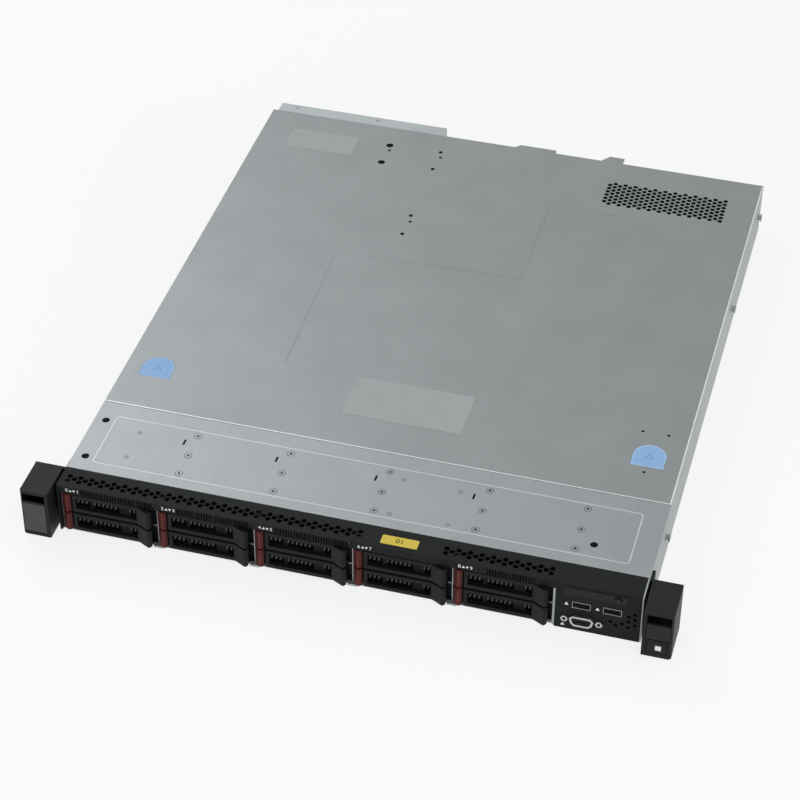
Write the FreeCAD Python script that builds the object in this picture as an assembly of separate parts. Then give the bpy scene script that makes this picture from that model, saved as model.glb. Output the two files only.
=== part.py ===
import FreeCAD, Part
import math
import os

# 1U rack server, millimetres. +Z up, -Y is the front with the drives, +X is the right seen from the front.
# Origin: centre of the overall box, on the plane the chassis rests on.

vector = FreeCAD.Vector

# ---- chassis envelope
chassis_width = 434.4
chassis_height = 43.0
deck_depth = 498.0        # fixed top plate's front edge to the cover's rear edge
bezel_reach = 21.3        # bezel face ahead of the deck
ear_reach = 33.5          # ear faces ahead of the deck
lip_reach = 14.0          # power supply cage lip behind the deck
ears_width = 482.0
sheet = 1.0               # chassis, cover and top plate steel
cage_sheet = 0.8          # drive and supply cage steel
slide_gap = 0.3           # between faces that slide past each other
seat_gap = 0.2            # between fixed parts that are fitted side by side
pin_gap = 0.05            # radial, hinge pins in their holes
pin_sides = 8             # small repeated pins, studs and holes are prisms with few faces
hole_sides = 12

# ---- top plate and cover
plate_depth = 78.7
seam = 0.3
cover_flange = 6.0
cover_flange_start = 18.0
rear_flange = 5.0
rear_flange_gap = 2.0     # rear flange's left end to the supply cage
cover_travel = 8.0
rear_wall_inset = 0.6     # rear wall ahead of the cover's rear flange
plate_slot = (1.5, 6.0)
plate_slot_x = (-143.2, -71.6, 4.3, 78.0)
plate_slot_y = 49.5
plate_hole_radius = 2.8
plate_holes = ((-208.2, 57.6), (-208.2, 14.9), (172.3, 22.8))
pad_width = 25.0
pad_depth = 25.0
pad_edge_inset = 13.0
pad_front_y = 115.5
pad_recess = 0.6
pad_gap = 0.15
cover_hole_radius = 3.0
cover_holes = ((-103.4, 471.0), (-103.5, 444.4))
pad_hole_radius = 1.2
pad_holes = ((181.4, 154.6), (201.0, 154.8), (191.1, 109.2))
hook_width = 19.0
hook_reach = 8.0
hook_right_x = 96.0
bump_width = 36.0
bump_reach = 4.5
bump_right_x = 37.0

# ---- hexagonal vent in the cover
vent_hex_flats = 3.9
vent_column_pitch = 4.27
vent_row_pitch = 4.95
vent_columns = 24
vent_long_rows = 7
vent_right_inset = 27.0
vent_rear_inset = 46.0    # cover's rear edge to the middle of the vent

# ---- front bezel
bezel_wall = 2.0
mesh_hex_flats = 3.9      # hexagonal cells in the bezel's roof
mesh_row_pitch = 4.9
mesh_edge_inset = 7.3     # bezel face to the front row of holes
mesh_left_columns = 53
mesh_left_start = 6.4     # from the left end of the bezel
mesh_right_columns = 19
mesh_right_end = 81.5     # row's last column to the bay divider
rib_spans = ((0, 16.5, 72.0), (1, 16.5, 72.0), (2, 16.5, 72.0), (4, 25.0, 60.0))  # column, from, to
rib_window = 17.5         # longest air window between two bars of a span
rib_height = 5.0
rib_drop = 0.7            # band left over the windows
rib_bar = 1.4
panel_hole_flats = 2.6
panel_holes = ((39.9, 14.9), (44.0, 12.2), (48.3, 14.6), (52.8, 22.5), (52.8, 17.4),
               (52.6, 12.2), (57.1, 25.2), (57.2, 20.5), (57.3, 15.1))

# ---- drive bays and trays
bay_columns = 5
bay_rows = 2
disk_width = 69.85
disk_depth = 100.2
disk_height = 15.0
tray_rail = 1.2
tray_height = 16.4
tray_length = 110.0
fascia_back = 6.0         # fascia's rear face behind the bezel face
fascia_front = 3.0        # grille plane behind the bezel face
disk_start = 7.0
cage_front = 3.0          # cage edges behind the bezel face
ledge = 3.5
divider_width = 1.6
foot_width = 7.0
grille_windows = ((11.2, 21.4), (24.2, 43.8), (52.4, 57.6))     # from the tray's left edge
grille_height = 9.0
lever_thickness = 2.4
lever_height = 15.8
lever_left = 8.2
lever_flare_start = 58.4
lever_flare_reach = 4.2
lever_right = 69.4
lever_window = (10.9, 57.8)
lever_window_height = 9.6
lever_flare_flat = 1.4
lever_flare_chamfer = 2.2
lever_barrel = 2.6
lever_pin_depth = 0.9
lever_pin_radius = 1.0
barrel_steps = 4
barrel_pocket = 1.0       # fascia left behind the lever's barrel
lug_thickness = 1.4
lug_nose = (1.4, 2.0)      # half width, and reach ahead of the pin
latch_left = 0.4
latch_width = 6.6
latch_height = 16.2
latch_ridge = 1.2

# ---- backplane, fans
backplane_gap = 2.5
board_thickness = 1.6
connector = (42.0, 5.0)
fan_count = 4
fan_size = 40.0
fan_depth = 28.0
fan_bore = 19.0
fan_tip_gap = 0.8
fan_blades = 5
blade_thickness = 1.2
blade_pitch_angle = 42.0
hub_radius = 9.0
hub_sides = 6
duct_sides = 10
hub_mount = 4.0
fan_row_gap = 18.0        # backplane to the fans
fan_pitch = 112.0
fan_side_inset = 26.0

# ---- system board and what stands on it
standoff = 4.0
standoff_flats = 6.0
board_gap = 14.0          # fans to the board
board_rear_gap = 1.5
board_side_gap = 6.0
cpu_x = -70.0
cpu_y = 60.0              # from the board's front edge
socket_size = 62.0
socket_height = 3.0
package_size = 45.0
package_height = 3.0
sink_width = 86.0
sink_depth = 104.0
sink_base = 4.0
sink_height = 27.0
fin_count = 11
fin_thickness = 1.2
module_count = 4
module_length = 133.35
module_height = 28.0
module_thickness = 3.2
module_pitch = 9.5
module_x = 20.0
module_socket_height = 4.0
module_socket_width = 6.5
module_socket_end = 4.0

# ---- power supplies
supply_count = 2
supply_width = 73.5
supply_length = 185.0
supply_face_inset = 0.5   # rear faces ahead of the cover's rear edge
supply_cage_length = 200.0
inlet_width = 25.0
inlet_height = 17.0
inlet_depth = 14.0
inlet_x = 8.0
inlet_z = 9.0
handle_x = 37.0
handle_bar = 3.0
handle_z = (7.0, 33.0)
handle_reach = 13.5
exhaust_x = 45.0
exhaust_slots = 5
exhaust_slot_width = 20.0
exhaust_slot_height = 3.2
exhaust_slot_pitch = 5.6
exhaust_z = 8.0
exhaust_depth = 6.0
supply_latch_width = 3.0
supply_latch_z = (12.0, 28.0)
supply_latch_reach = 9.0
supply_latch_inset = 0.3
lip_stud_radius = 2.0
lip_stud_height = 0.9
lip_studs = ((15.0, 3.0), (89.0, 3.0))      # from the cage's left side and the lip's edge
cage_side_gap = 1.5

# ---- riser and rear ports
riser_width = 149.0
riser_length = 166.0
riser_frame = 6.0         # chassis wall left round the riser's slots
slot_cover_width = 120.0
slot_cover_height = 14.5
slot_cover_gap = 2.0
slot_cover_count = 2
slot_vents = 5
slot_vent_pitch = 20.0
slot_vent = (15.0, 5.0)
riser_board_height = 28.0
jack_width = 16.0
jack_height = 14.0
jack_depth = 21.0
jack_cavity = (11.7, 8.0, 13.0)
jack_count = 3
usb_width = 13.1
usb_height = 5.7
usb_wall = 0.3
usb_depth = 14.0
usb_cavity_depth = 12.0
rear_usb_count = 2
rear_usb_rise = 8.0
video_width = 30.8
video_height = 12.5
video_shell = (16.9, 8.3, 5.8)
video_shell_wall = 0.9
video_shell_corner = 1.8
video_screw_spacing = 24.99
video_screw_flats = 4.8
port_gap = 3.0
rear_port_start = 5.0     # from the supply cage to the first port
video_body_depth = 12.0

# ---- front ports and button
front_usb = ((18.8, 24.2), (41.0, 24.2))      # from the bay divider, and height
front_video = (19.8, 10.6)
operator_plate = (5.5, 51.0, 33.2, 40.2)
operator_plate_rise = 0.5
button_x = 44.5            # from the bay divider
button_z = 36.7
button_radius = 2.4
button_rise = 0.9
button_depth = 1.5

# ---- rack ears
ear_gap = 2.3
ear_bottom = 1.0
ear_top = 42.6
bracket = 2.0
bracket_leg = 12.0
leg_edge = 3.0            # leg's top and bottom inside the flange's
rack_hole_spacing = 465.1
rack_hole_radius = 3.5
rack_hole_z = 22.2
ear_inner_wall = 2.4
ear_outer_wall = 1.5
recess_z = (31.6, 40.0)
recess_depth = 12.0
flap_thickness = 2.4
left_flap_bottom = 3.6
right_flap_bottom = 17.0
flap_pin_radius = 0.8
flap_pin_length = 0.9
flap_edge_steps = 6
ear_edge = 1.5
tab_width = 14.4
tab_z = (4.8, 15.0)
tab_left = 3.5
tab_head = 2.0
tab_card = 1.2
tab_length = 27.0

# ---- rail studs on the chassis sides
stud_y = 68.0             # front rail stud behind the deck's front edge
stud_rear_insets = (148.0, 16.0)      # the others ahead of the cover's rear edge
stud_z = 21.5
stud_radius = 2.0
stud_length = 1.8
stud_head_radius = 3.2
stud_head = 1.2

# ---- places worked out from the sizes above
half_width = chassis_width / 2
overall_depth = ear_reach + deck_depth + lip_reach
deck_front = ear_reach - overall_depth / 2
deck_rear = deck_front + deck_depth
face_y = deck_front - bezel_reach
tub_front = face_y + bezel_wall
tub_rear = deck_rear - sheet - rear_wall_inset
deck_z = chassis_height - sheet                   # underside of the top plate and the cover
wall_top = deck_z - slide_gap
bezel_roof = chassis_height - wall_top
tray_width = disk_width + 2 * tray_rail
bay_pitch = tray_width + 2 * slide_gap + cage_sheet
bays_left = -half_width + sheet + 2 * cage_sheet
row_pitch = tray_height + 2 * slide_gap + cage_sheet
tray_floor = sheet + cage_sheet + slide_gap
bays_right = bays_left + bay_columns * bay_pitch
divider_right = bays_right - cage_sheet / 2 + divider_width
cage_rear = face_y + tray_length - cage_front
backplane_y = face_y + tray_length + backplane_gap
fan_y = backplane_y + board_thickness + fan_row_gap
board_y = fan_y + fan_depth + board_gap
board_rear = tub_rear - sheet - board_rear_gap
board_z = sheet + standoff
board_top = board_z + board_thickness
supply_height = wall_top - cage_sheet - slide_gap - sheet - slide_gap
supply_cage_left = -half_width + sheet + slide_gap + cage_sheet + cage_side_gap
supply_pitch = supply_width + 2 * slide_gap + cage_sheet
supply_cage_right = supply_cage_left + supply_count * supply_pitch + cage_sheet
supply_face_y = deck_rear - supply_face_inset
supply_cage_front = deck_rear - supply_cage_length
lip_rear = deck_rear + lip_reach
riser_right = half_width - 2 * sheet - 2.4
riser_left = riser_right - riser_width
riser_rear = tub_rear - sheet - seat_gap
ear_in = half_width + ear_gap
ear_out = ears_width / 2
ear_front = deck_front - ear_reach
ear_back = deck_front - bracket
pocket_in = ear_in + ear_inner_wall
pocket_out = ear_out - ear_outer_wall


def box(x0, x1, y0, y1, z0, z1):
    return Part.makeBox(x1 - x0, y1 - y0, z1 - z0, vector(x0, y0, z0))


def cylinder(radius, length, start, axis):
    return Part.makeCylinder(radius, length, vector(*start), vector(*axis))


def outline(points, place):
    wire = Part.makePolygon([place(*p) for p in points + [points[0]]])
    return Part.Face(wire)


def prism_z(points, z0, z1):
    face = outline(points, lambda x, y: vector(x, y, z0))
    return face.extrude(vector(0, 0, z1 - z0))


def prism_y(points, y0, y1):
    face = outline(points, lambda x, z: vector(x, y0, z))
    return face.extrude(vector(0, y1 - y0, 0))


def prism_x(points, x0, x1):
    face = outline(points, lambda y, z: vector(x0, y, z))
    return face.extrude(vector(x1 - x0, 0, 0))


def ring_points(sides, radius, cx, cy, turn=0.0):
    steps = [turn + 2 * math.pi * k / sides for k in range(sides)]
    return [(cx + radius * math.cos(a), cy + radius * math.sin(a)) for a in steps]


def hexagon(cx, cy, flats, turn=0.0):
    return ring_points(6, flats / math.sqrt(3), cx, cy, turn)


def bored(sides, radius, cx, cy):
    """Outline of a many-sided hole whose flats clear a shaft of this radius."""
    return ring_points(sides, radius / math.cos(math.pi / sides), cx, cy)


def joined(shapes):
    first, rest = shapes[0], shapes[1:]
    return first.fuse(rest).removeSplitter() if rest else first


def save(name, shapes):
    Part.Compound(shapes).exportStep("parts/" + name + ".step")


def deck_y(distance):
    return deck_front + distance


# ---- sheet metal: chassis tub, top plate, cover
def stud_places():
    return [deck_y(stud_y)] + [deck_rear - inset for inset in stud_rear_insets]


def rail_stud(side, y):
    under_head = half_width + stud_length
    neck = prism_x(ring_points(pin_sides, stud_radius, y, stud_z), side * half_width, side * under_head)
    head = prism_x(ring_points(pin_sides, stud_head_radius, y, stud_z), side * under_head,
                   side * (under_head + stud_head))
    return [neck, head]


def bay_foot(column):
    left = bays_left + column * bay_pitch - foot_width / 2
    tongue = box(left, left + foot_width, face_y, tub_front, 0, sheet)
    upright = box(left, left + foot_width, face_y, face_y + sheet, 0, tray_floor - slide_gap)
    return [tongue, upright]


def board_standoffs():
    places = []
    for x in (riser_left + 12, supply_cage_right + 14, riser_right - 12):
        places.append((x, board_rear - 14))
    for x in (cpu_x - 60, cpu_x + 60, riser_right - 12):
        places.append((x, board_y + 12))
    return [prism_z(hexagon(x, y, standoff_flats), sheet, board_z) for x, y in places]


def rear_cutouts():
    rear_in = tub_rear - sheet - 1
    rear_out = tub_rear + 1
    cuts = [box(supply_cage_left - seat_gap, supply_cage_right + seat_gap, rear_in, rear_out,
                sheet, wall_top + 1)]
    cuts.append(box(riser_left + riser_frame, riser_right - riser_frame, rear_in, rear_out,
                    board_top + 1, wall_top - 2 * cage_sheet))
    for x0, x1, z0, z1 in rear_port_faces():
        cuts.append(box(x0 - seat_gap, x1 + seat_gap, rear_in, rear_out, z0 - seat_gap, z1 + seat_gap))
    return cuts


def chassis_base():
    floor = box(-half_width, half_width, tub_front, tub_rear, 0, sheet)
    left = box(-half_width, sheet - half_width, tub_front, tub_rear, 0, wall_top)
    right = box(half_width - sheet, half_width, face_y, tub_rear, 0, wall_top)
    edge = box(half_width - sheet, half_width, face_y, deck_front - seat_gap, wall_top, chassis_height)
    rear = box(-half_width, half_width, tub_rear - sheet, tub_rear, 0, wall_top).cut(rear_cutouts())
    pieces = [floor, left, right, edge, rear] + board_standoffs()
    for column in range(1, bay_columns):
        pieces += bay_foot(column)
    for side in (-1, 1):
        for y in stud_places():
            pieces += rail_stud(side, y)
    return joined(pieces)


def front_top_plate():
    plate = box(-half_width, half_width, deck_front, deck_y(plate_depth), deck_z, chassis_height)
    cuts = []
    for x in plate_slot_x:
        y = deck_y(plate_slot_y)
        cuts.append(box(x - plate_slot[0] / 2, x + plate_slot[0] / 2, y - plate_slot[1] / 2,
                        y + plate_slot[1] / 2, deck_z - 1, chassis_height + 1))
    for x, distance in plate_holes:
        points = bored(hole_sides, plate_hole_radius, x, deck_y(distance))
        cuts.append(prism_z(points, deck_z - 1, chassis_height + 1))
    return plate.cut(cuts)


def pad_outline(left, grow):
    """D shape: straight towards the front, round towards the rear."""
    x0, x1 = left - grow, left + pad_width + grow
    y0 = deck_y(pad_front_y) - grow
    y1 = deck_y(pad_front_y) + pad_depth + grow
    radius = (x1 - x0) / 2
    shoulder = y1 - radius
    low = Part.makePolygon([vector(x0, shoulder, 0), vector(x0, y0, 0), vector(x1, y0, 0),
                            vector(x1, shoulder, 0)])
    arc = Part.Arc(vector(x1, shoulder, 0), vector((x0 + x1) / 2, y1, 0), vector(x0, shoulder, 0))
    return Part.Face(Part.Wire(low.Edges + [arc.toShape()]))


def pad_solid(left, grow, z0, z1):
    face = pad_outline(left, grow)
    face.translate(vector(0, 0, z0))
    return face.extrude(vector(0, 0, z1 - z0))


def pad_lefts():
    return (pad_edge_inset - half_width, half_width - pad_edge_inset - pad_width)


def vent_holes():
    """Columns of hexagons, every second column one hole longer."""
    last_x = half_width - vent_right_inset
    middle_y = deck_rear - vent_rear_inset
    holes = []
    for column in range(vent_columns):
        x = last_x - (vent_columns - 1 - column) * vent_column_pitch
        rows = vent_long_rows - 1 + column % 2
        for row in range(rows):
            y = middle_y + (row - (rows - 1) / 2) * vent_row_pitch
            holes.append(prism_z(hexagon(x, y, vent_hex_flats), deck_z - 1, chassis_height + 1))
    return holes


def rear_tongue(right, width, reach, slant):
    points = [(right - width, deck_rear), (right, deck_rear), (right, deck_rear + reach),
              (right - width + slant, deck_rear + reach)]
    return prism_z(points, deck_z, chassis_height)


def top_cover():
    cover_front = deck_y(plate_depth + seam)
    top = box(-half_width, half_width, cover_front, deck_rear, deck_z, chassis_height)
    flange_in = half_width - sheet - slide_gap
    flange_y = cover_front + cover_flange_start
    pieces = [top]
    for side in (-1, 1):
        x0, x1 = sorted((side * flange_in, side * (flange_in - cage_sheet)))
        pieces.append(box(x0, x1, flange_y, tub_rear - sheet - cover_travel - slide_gap,
                          deck_z - cover_flange, deck_z))
    pieces.append(rear_tongue(hook_right_x, hook_width, hook_reach, hook_width / 3))
    pieces.append(rear_tongue(bump_right_x, bump_width, bump_reach, bump_reach))
    cuts = vent_holes()
    for left in pad_lefts():
        cuts.append(pad_solid(left, pad_gap, chassis_height - pad_recess, chassis_height + 1))
    for places, radius in ((cover_holes, cover_hole_radius), (pad_holes, pad_hole_radius)):
        for x, distance in places:
            points = bored(hole_sides, radius, x, deck_y(distance))
            cuts.append(prism_z(points, deck_z - 1, chassis_height + 1))
    return joined(pieces).cut(cuts)


def cover_rear_flange():
    # a strip welded under the cover's rear edge, beside the supplies
    return box(supply_cage_right + rear_flange_gap, half_width, deck_rear - sheet, deck_rear,
               deck_z - rear_flange, deck_z)


def touch_pads():
    return [pad_solid(left, 0, chassis_height - pad_recess, chassis_height) for left in pad_lefts()]


# ---- front bezel with its perforated roof
def mesh_holes(first_x, columns):
    """Honeycomb along the front edge: columns of two cells and of one cell in turn."""
    middle_y = face_y + mesh_edge_inset + mesh_row_pitch / 2
    column_pitch = mesh_row_pitch * math.cos(math.pi / 6)
    holes = []
    for column in range(columns):
        x = first_x + column * column_pitch
        rows = 2 - column % 2
        for row in range(rows):
            y = middle_y + (row - (rows - 1) / 2) * mesh_row_pitch
            holes.append(prism_z(hexagon(x, y, mesh_hex_flats), wall_top - 1, chassis_height + 1))
    return holes


def rib_windows():
    """Air windows in the band over the bays, each span split by a few bars."""
    z1 = chassis_height - rib_drop
    windows = []
    for column, start, end in rib_spans:
        count = math.ceil((end - start + rib_bar) / (rib_window + rib_bar))
        pitch = (end - start + rib_bar) / count
        for k in range(count):
            x = bays_left + column * bay_pitch + start + k * pitch
            windows.append(box(x, x + pitch - rib_bar, face_y - 1, tub_front, z1 - rib_height, z1))
    return windows


def panel_cutouts():
    y0, y1 = face_y - 1, tub_front + 1
    cuts = []
    for dx, z in front_usb:
        x = divider_right + dx
        cuts.append(box(x - usb_width / 2 - seat_gap, x + usb_width / 2 + seat_gap, y0, y1,
                        z - usb_height / 2 - seat_gap, z + usb_height / 2 + seat_gap))
    x, z = divider_right + front_video[0], front_video[1]
    cuts += [prism_y(shell_outline(x, z, seat_gap), y0, y1)]
    cuts += [prism_y(points, y0, y1) for points in jack_screws(x, z, seat_gap)]
    for dx, z in panel_holes:
        cuts.append(prism_y(hexagon(divider_right + dx, z, panel_hole_flats), y0, y1))
    points = bored(hole_sides, button_radius + slide_gap, divider_right + button_x, button_z)
    cuts.append(prism_y(points, y0, y1))
    return cuts


def front_bezel():
    band_z = tray_floor + row_pitch + tray_height + 2 * slide_gap
    right = half_width - sheet - seat_gap
    roof = box(-half_width, right, face_y, deck_front - seat_gap, chassis_height - bezel_roof,
               chassis_height)
    band = box(-half_width, divider_right, face_y, tub_front, band_z, chassis_height)
    cheek = box(-half_width, bays_left - cage_sheet, face_y, tub_front, 0, chassis_height)
    panel = box(divider_right, right, face_y, tub_front, 0, chassis_height)
    cuts = mesh_holes(mesh_left_start - half_width, mesh_left_columns)
    cuts += mesh_holes(divider_right - mesh_right_end, mesh_right_columns)
    return joined([roof, band, cheek, panel]).cut(cuts + rib_windows() + panel_cutouts())


# ---- drive cage, trays, levers and latches
def tray_place(column, row):
    x = bays_left + column * bay_pitch + cage_sheet / 2 + slide_gap
    return x, tray_floor + row * row_pitch


def drive_cage():
    front, rear = face_y + cage_front, cage_rear
    top = deck_z - cage_sheet
    left, right = bays_left - cage_sheet / 2, bays_right + cage_sheet / 2
    pieces = [box(left, right, front, rear, sheet, sheet + cage_sheet)]
    pieces.append(box(left, half_width - sheet - seat_gap, deck_y(seat_gap), deck_y(plate_depth) - sheet,
                      top, deck_z))
    for wall in range(bay_columns + 1):
        x = bays_left + wall * bay_pitch
        ledge_left = x if wall == 0 else x - ledge
        ledge_right = x if wall == bay_columns else x + ledge
        pieces.append(box(x - cage_sheet / 2, x + cage_sheet / 2, front, rear, sheet, top))
        for row in range(bay_rows):
            z = tray_floor + row * row_pitch + tray_height + slide_gap
            pieces.append(box(ledge_left, ledge_right, front, rear, z, z + cage_sheet))
    band_z = tray_floor + (bay_rows - 1) * row_pitch + tray_height + 2 * slide_gap
    pieces.append(box(right - cage_sheet, divider_right, face_y, front, sheet, band_z - seat_gap))
    return joined(pieces)


def grille_cuts(x, z):
    middle = z + tray_height / 2
    z0, z1 = middle - grille_height / 2, middle + grille_height / 2
    y0, y1 = face_y + fascia_front - 1, face_y + fascia_back + 1
    return [box(x + start, x + end, y0, y1, z0, z1) for start, end in grille_windows]


def pin_centre(x):
    return x + lever_right - lever_barrel, face_y + lever_pin_depth


def drive_tray(x, z):
    """Fascia with its grille, two side rails, lugs and the lever's pin."""
    pin_x, pin_y = pin_centre(x)
    grille_y, back_y = face_y + fascia_front, face_y + fascia_back
    fascia = box(x, x + tray_width, grille_y, back_y, z, z + tray_height)
    pocket = box(pin_x - lever_barrel - 1, x + tray_width + 1, grille_y - 1, back_y - barrel_pocket,
                 z + lug_thickness, z + tray_height - lug_thickness)
    pieces = [fascia.cut(grille_cuts(x, z) + [pocket])]
    for z0 in (z, z + tray_height - lug_thickness):
        lug = [(pin_x - lever_barrel, grille_y), (pin_x - lug_nose[0], pin_y - lug_nose[1]),
               (pin_x + lug_nose[0], pin_y - lug_nose[1]), (pin_x + lever_barrel, grille_y)]
        pieces.append(prism_z(lug, z0, z0 + lug_thickness))
    for left in (x, x + tray_width - tray_rail):
        pieces.append(box(left, left + tray_rail, back_y, face_y + tray_length, z + tray_rail,
                          z + tray_height - tray_rail))
    pieces.append(prism_z(ring_points(pin_sides, lever_pin_radius, pin_x, pin_y), z + lug_thickness,
                          z + tray_height - lug_thickness))
    return joined(pieces)


def drive_disk(x, z):
    z0 = z + (tray_height - disk_height) / 2
    y0 = face_y + disk_start
    return box(x + tray_rail, x + tray_rail + disk_width, y0, y0 + disk_depth, z0, z0 + disk_height)


def drive_lever(x, z):
    """Lever plate with a window, a flared end and a barrel on the pin between the tray's lugs."""
    pin_x, pin_y = pin_centre(x)
    z0 = z + (tray_height - lever_height) / 2
    right, back = x + lever_right, face_y + lever_thickness
    flare_y = face_y - lever_flare_reach
    meet = pin_x - math.sqrt(lever_barrel ** 2 - (back - pin_y) ** 2)
    corners = [(right, pin_y), (right, flare_y + lever_flare_chamfer),
               (right - lever_flare_flat, flare_y), (right - 2 * lever_flare_flat, flare_y),
               (x + lever_flare_start, face_y), (x + lever_left, face_y), (x + lever_left, back),
               (meet, back)]
    start = math.atan2(back - pin_y, meet - pin_x)
    for k in range(1, barrel_steps):
        angle = start * (1 - k / barrel_steps)
        corners.append((pin_x + lever_barrel * math.cos(angle), pin_y + lever_barrel * math.sin(angle)))
    plate = prism_z(corners, z0, z0 + lever_height)
    middle = z + tray_height / 2
    window = box(x + lever_window[0], x + lever_window[1], face_y - 1, back + 1,
                 middle - lever_window_height / 2, middle + lever_window_height / 2)
    bore = prism_z(bored(pin_sides, lever_pin_radius + pin_gap, pin_x, pin_y), z0 - 1, z0 + lever_height + 1)
    notch_y = pin_y - math.hypot(*lug_nose) - slide_gap
    notch_height = lug_thickness + slide_gap - (tray_height - lever_height) / 2
    notches = [box(pin_x - lever_barrel - slide_gap, right + 1, notch_y, back + 1, low, low + notch_height)
               for low in (z0, z0 + lever_height - notch_height)]
    return plate.cut([window, bore] + notches)


def drive_latch(x, z):
    """Release latch with a finger ridge, ahead of the fascia."""
    left, right = x + latch_left, x + latch_left + latch_width
    back = face_y + fascia_front - slide_gap
    ridge = (left + right) / 2 + 0.5
    points = [(left, back), (left, face_y + 0.4), (ridge - 0.8, face_y - latch_ridge),
              (ridge + 0.8, face_y - latch_ridge), (right, face_y + 0.4), (right, back)]
    z0 = z + (tray_height - latch_height) / 2
    return prism_z(points, z0, z0 + latch_height)


def drive_backplane():
    board = box(bays_left, bays_right, backplane_y, backplane_y + board_thickness, sheet, wall_top - 1)
    pieces = [board]
    y0 = face_y + disk_start + disk_depth + slide_gap
    for column in range(bay_columns):
        for row in range(bay_rows):
            x, z = tray_place(column, row)
            middle_x, middle_z = x + tray_width / 2, z + tray_height / 2
            pieces.append(box(middle_x - connector[0] / 2, middle_x + connector[0] / 2, y0, backplane_y,
                              middle_z - connector[1] / 2, middle_z + connector[1] / 2))
    return joined(pieces)


# ---- fans
def fan_centre(index):
    return fan_side_inset + fan_size / 2 - half_width + index * fan_pitch, sheet + fan_size / 2


def fan_housing(index):
    """Square frame with a round duct and a motor mount on three struts."""
    x, z = fan_centre(index)
    half = fan_size / 2
    mount_y = fan_y + fan_depth - hub_mount
    frame = box(x - half, x + half, fan_y, fan_y + fan_depth, z - half, z + half)
    frame = frame.cut(prism_y(bored(duct_sides, fan_bore, x, z), fan_y - 1, fan_y + fan_depth + 1))
    mount = prism_y(ring_points(hub_sides, hub_radius, x, z), mount_y, fan_y + fan_depth)
    struts = []
    for angle in (90, 210, 330):
        strut = box(hub_radius - 1, fan_bore + 0.5, mount_y, fan_y + fan_depth, -1, 1)
        strut.rotate(vector(0, 0, 0), vector(0, 1, 0), angle)
        strut.translate(vector(x, 0, z))
        struts.append(strut)
    return joined([frame, mount] + struts)


def fan_rotor(index):
    """Hub with flat pitched blades that clear the duct."""
    x, z = fan_centre(index)
    rear = fan_y + fan_depth - hub_mount - slide_gap
    front = fan_y + hub_mount / 2
    hub = prism_y(ring_points(hub_sides, hub_radius, x, z), front, rear)
    chord = (rear - front) * 0.7
    angle = math.radians(blade_pitch_angle)
    sweep = chord / 2 * math.cos(angle) + blade_thickness / 2 * math.sin(angle)
    tip = math.sqrt((fan_bore - fan_tip_gap) ** 2 - sweep ** 2)
    blades = []
    for k in range(fan_blades):
        blade = box(hub_radius - 1, tip, -blade_thickness / 2, blade_thickness / 2, -chord / 2, chord / 2)
        blade.rotate(vector(0, 0, 0), vector(1, 0, 0), blade_pitch_angle)
        blade.rotate(vector(0, 0, 0), vector(0, 1, 0), 360 * k / fan_blades)
        blade.translate(vector(x, (front + rear) / 2, z))
        blades.append(blade)
    return joined([hub] + blades)


# ---- system board and what stands on it
def system_board():
    left, right = sheet + board_side_gap - half_width, half_width - sheet - board_side_gap
    step_x, step_y = supply_cage_right + board_side_gap / 2, supply_cage_front - board_side_gap
    points = [(left, board_y), (right, board_y), (right, board_rear), (step_x, board_rear),
              (step_x, step_y), (left, step_y)]
    return prism_z(points, board_z, board_top)


def centred_block(x, y, width, depth, z0, height):
    return box(x - width / 2, x + width / 2, y - depth / 2, y + depth / 2, z0, z0 + height)


def heat_sink():
    """Socket, processor package and the finned sink on it."""
    y = board_y + cpu_y
    package_z = board_top + socket_height
    sink_z = package_z + package_height
    socket = centred_block(cpu_x, y, socket_size, socket_size, board_top, socket_height)
    package = centred_block(cpu_x, y, package_size, package_size, package_z, package_height)
    pieces = [centred_block(cpu_x, y, sink_width, sink_depth, sink_z, sink_base)]
    pitch = (sink_width - fin_thickness) / (fin_count - 1)
    for fin in range(fin_count):
        x = cpu_x - sink_width / 2 + fin_thickness / 2 + fin * pitch
        pieces.append(centred_block(x, y, fin_thickness, sink_depth, sink_z + sink_base,
                                    sink_height - sink_base))
    return [socket, package, joined(pieces)]


def memory_modules():
    """Modules and the sockets that hold them."""
    solids = []
    y = board_y + module_socket_end + module_length / 2
    for k in range(module_count):
        x = module_x + k * module_pitch
        socket_top = board_top + module_socket_height
        solids.append(centred_block(x, y, module_socket_width, module_length + 2 * module_socket_end - 1,
                                    board_top, module_socket_height))
        solids.append(centred_block(x, y, module_thickness, module_length, socket_top, module_height))
    return solids


# ---- power supplies
def supply_place(index):
    return supply_cage_left + cage_sheet + slide_gap + index * supply_pitch, sheet + slide_gap


def supply_cage():
    """Top sheet with a lip past the rear wall, and a wall on each side of each supply."""
    top = wall_top - cage_sheet
    pieces = [box(supply_cage_left, supply_cage_right, supply_cage_front, lip_rear, top, wall_top)]
    side = [(supply_cage_front, sheet), (tub_rear, sheet), (lip_rear, (sheet + top) / 2), (lip_rear, top),
            (supply_cage_front, top)]
    for wall in range(supply_count + 1):
        x = supply_cage_left + wall * supply_pitch
        pieces.append(prism_x(side, x, x + cage_sheet))
    for dx, inset in lip_studs:
        points = ring_points(hole_sides, lip_stud_radius, supply_cage_left + dx, lip_rear - inset)
        pieces.append(prism_z(points, wall_top, wall_top + lip_stud_height))
    return joined(pieces)


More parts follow.
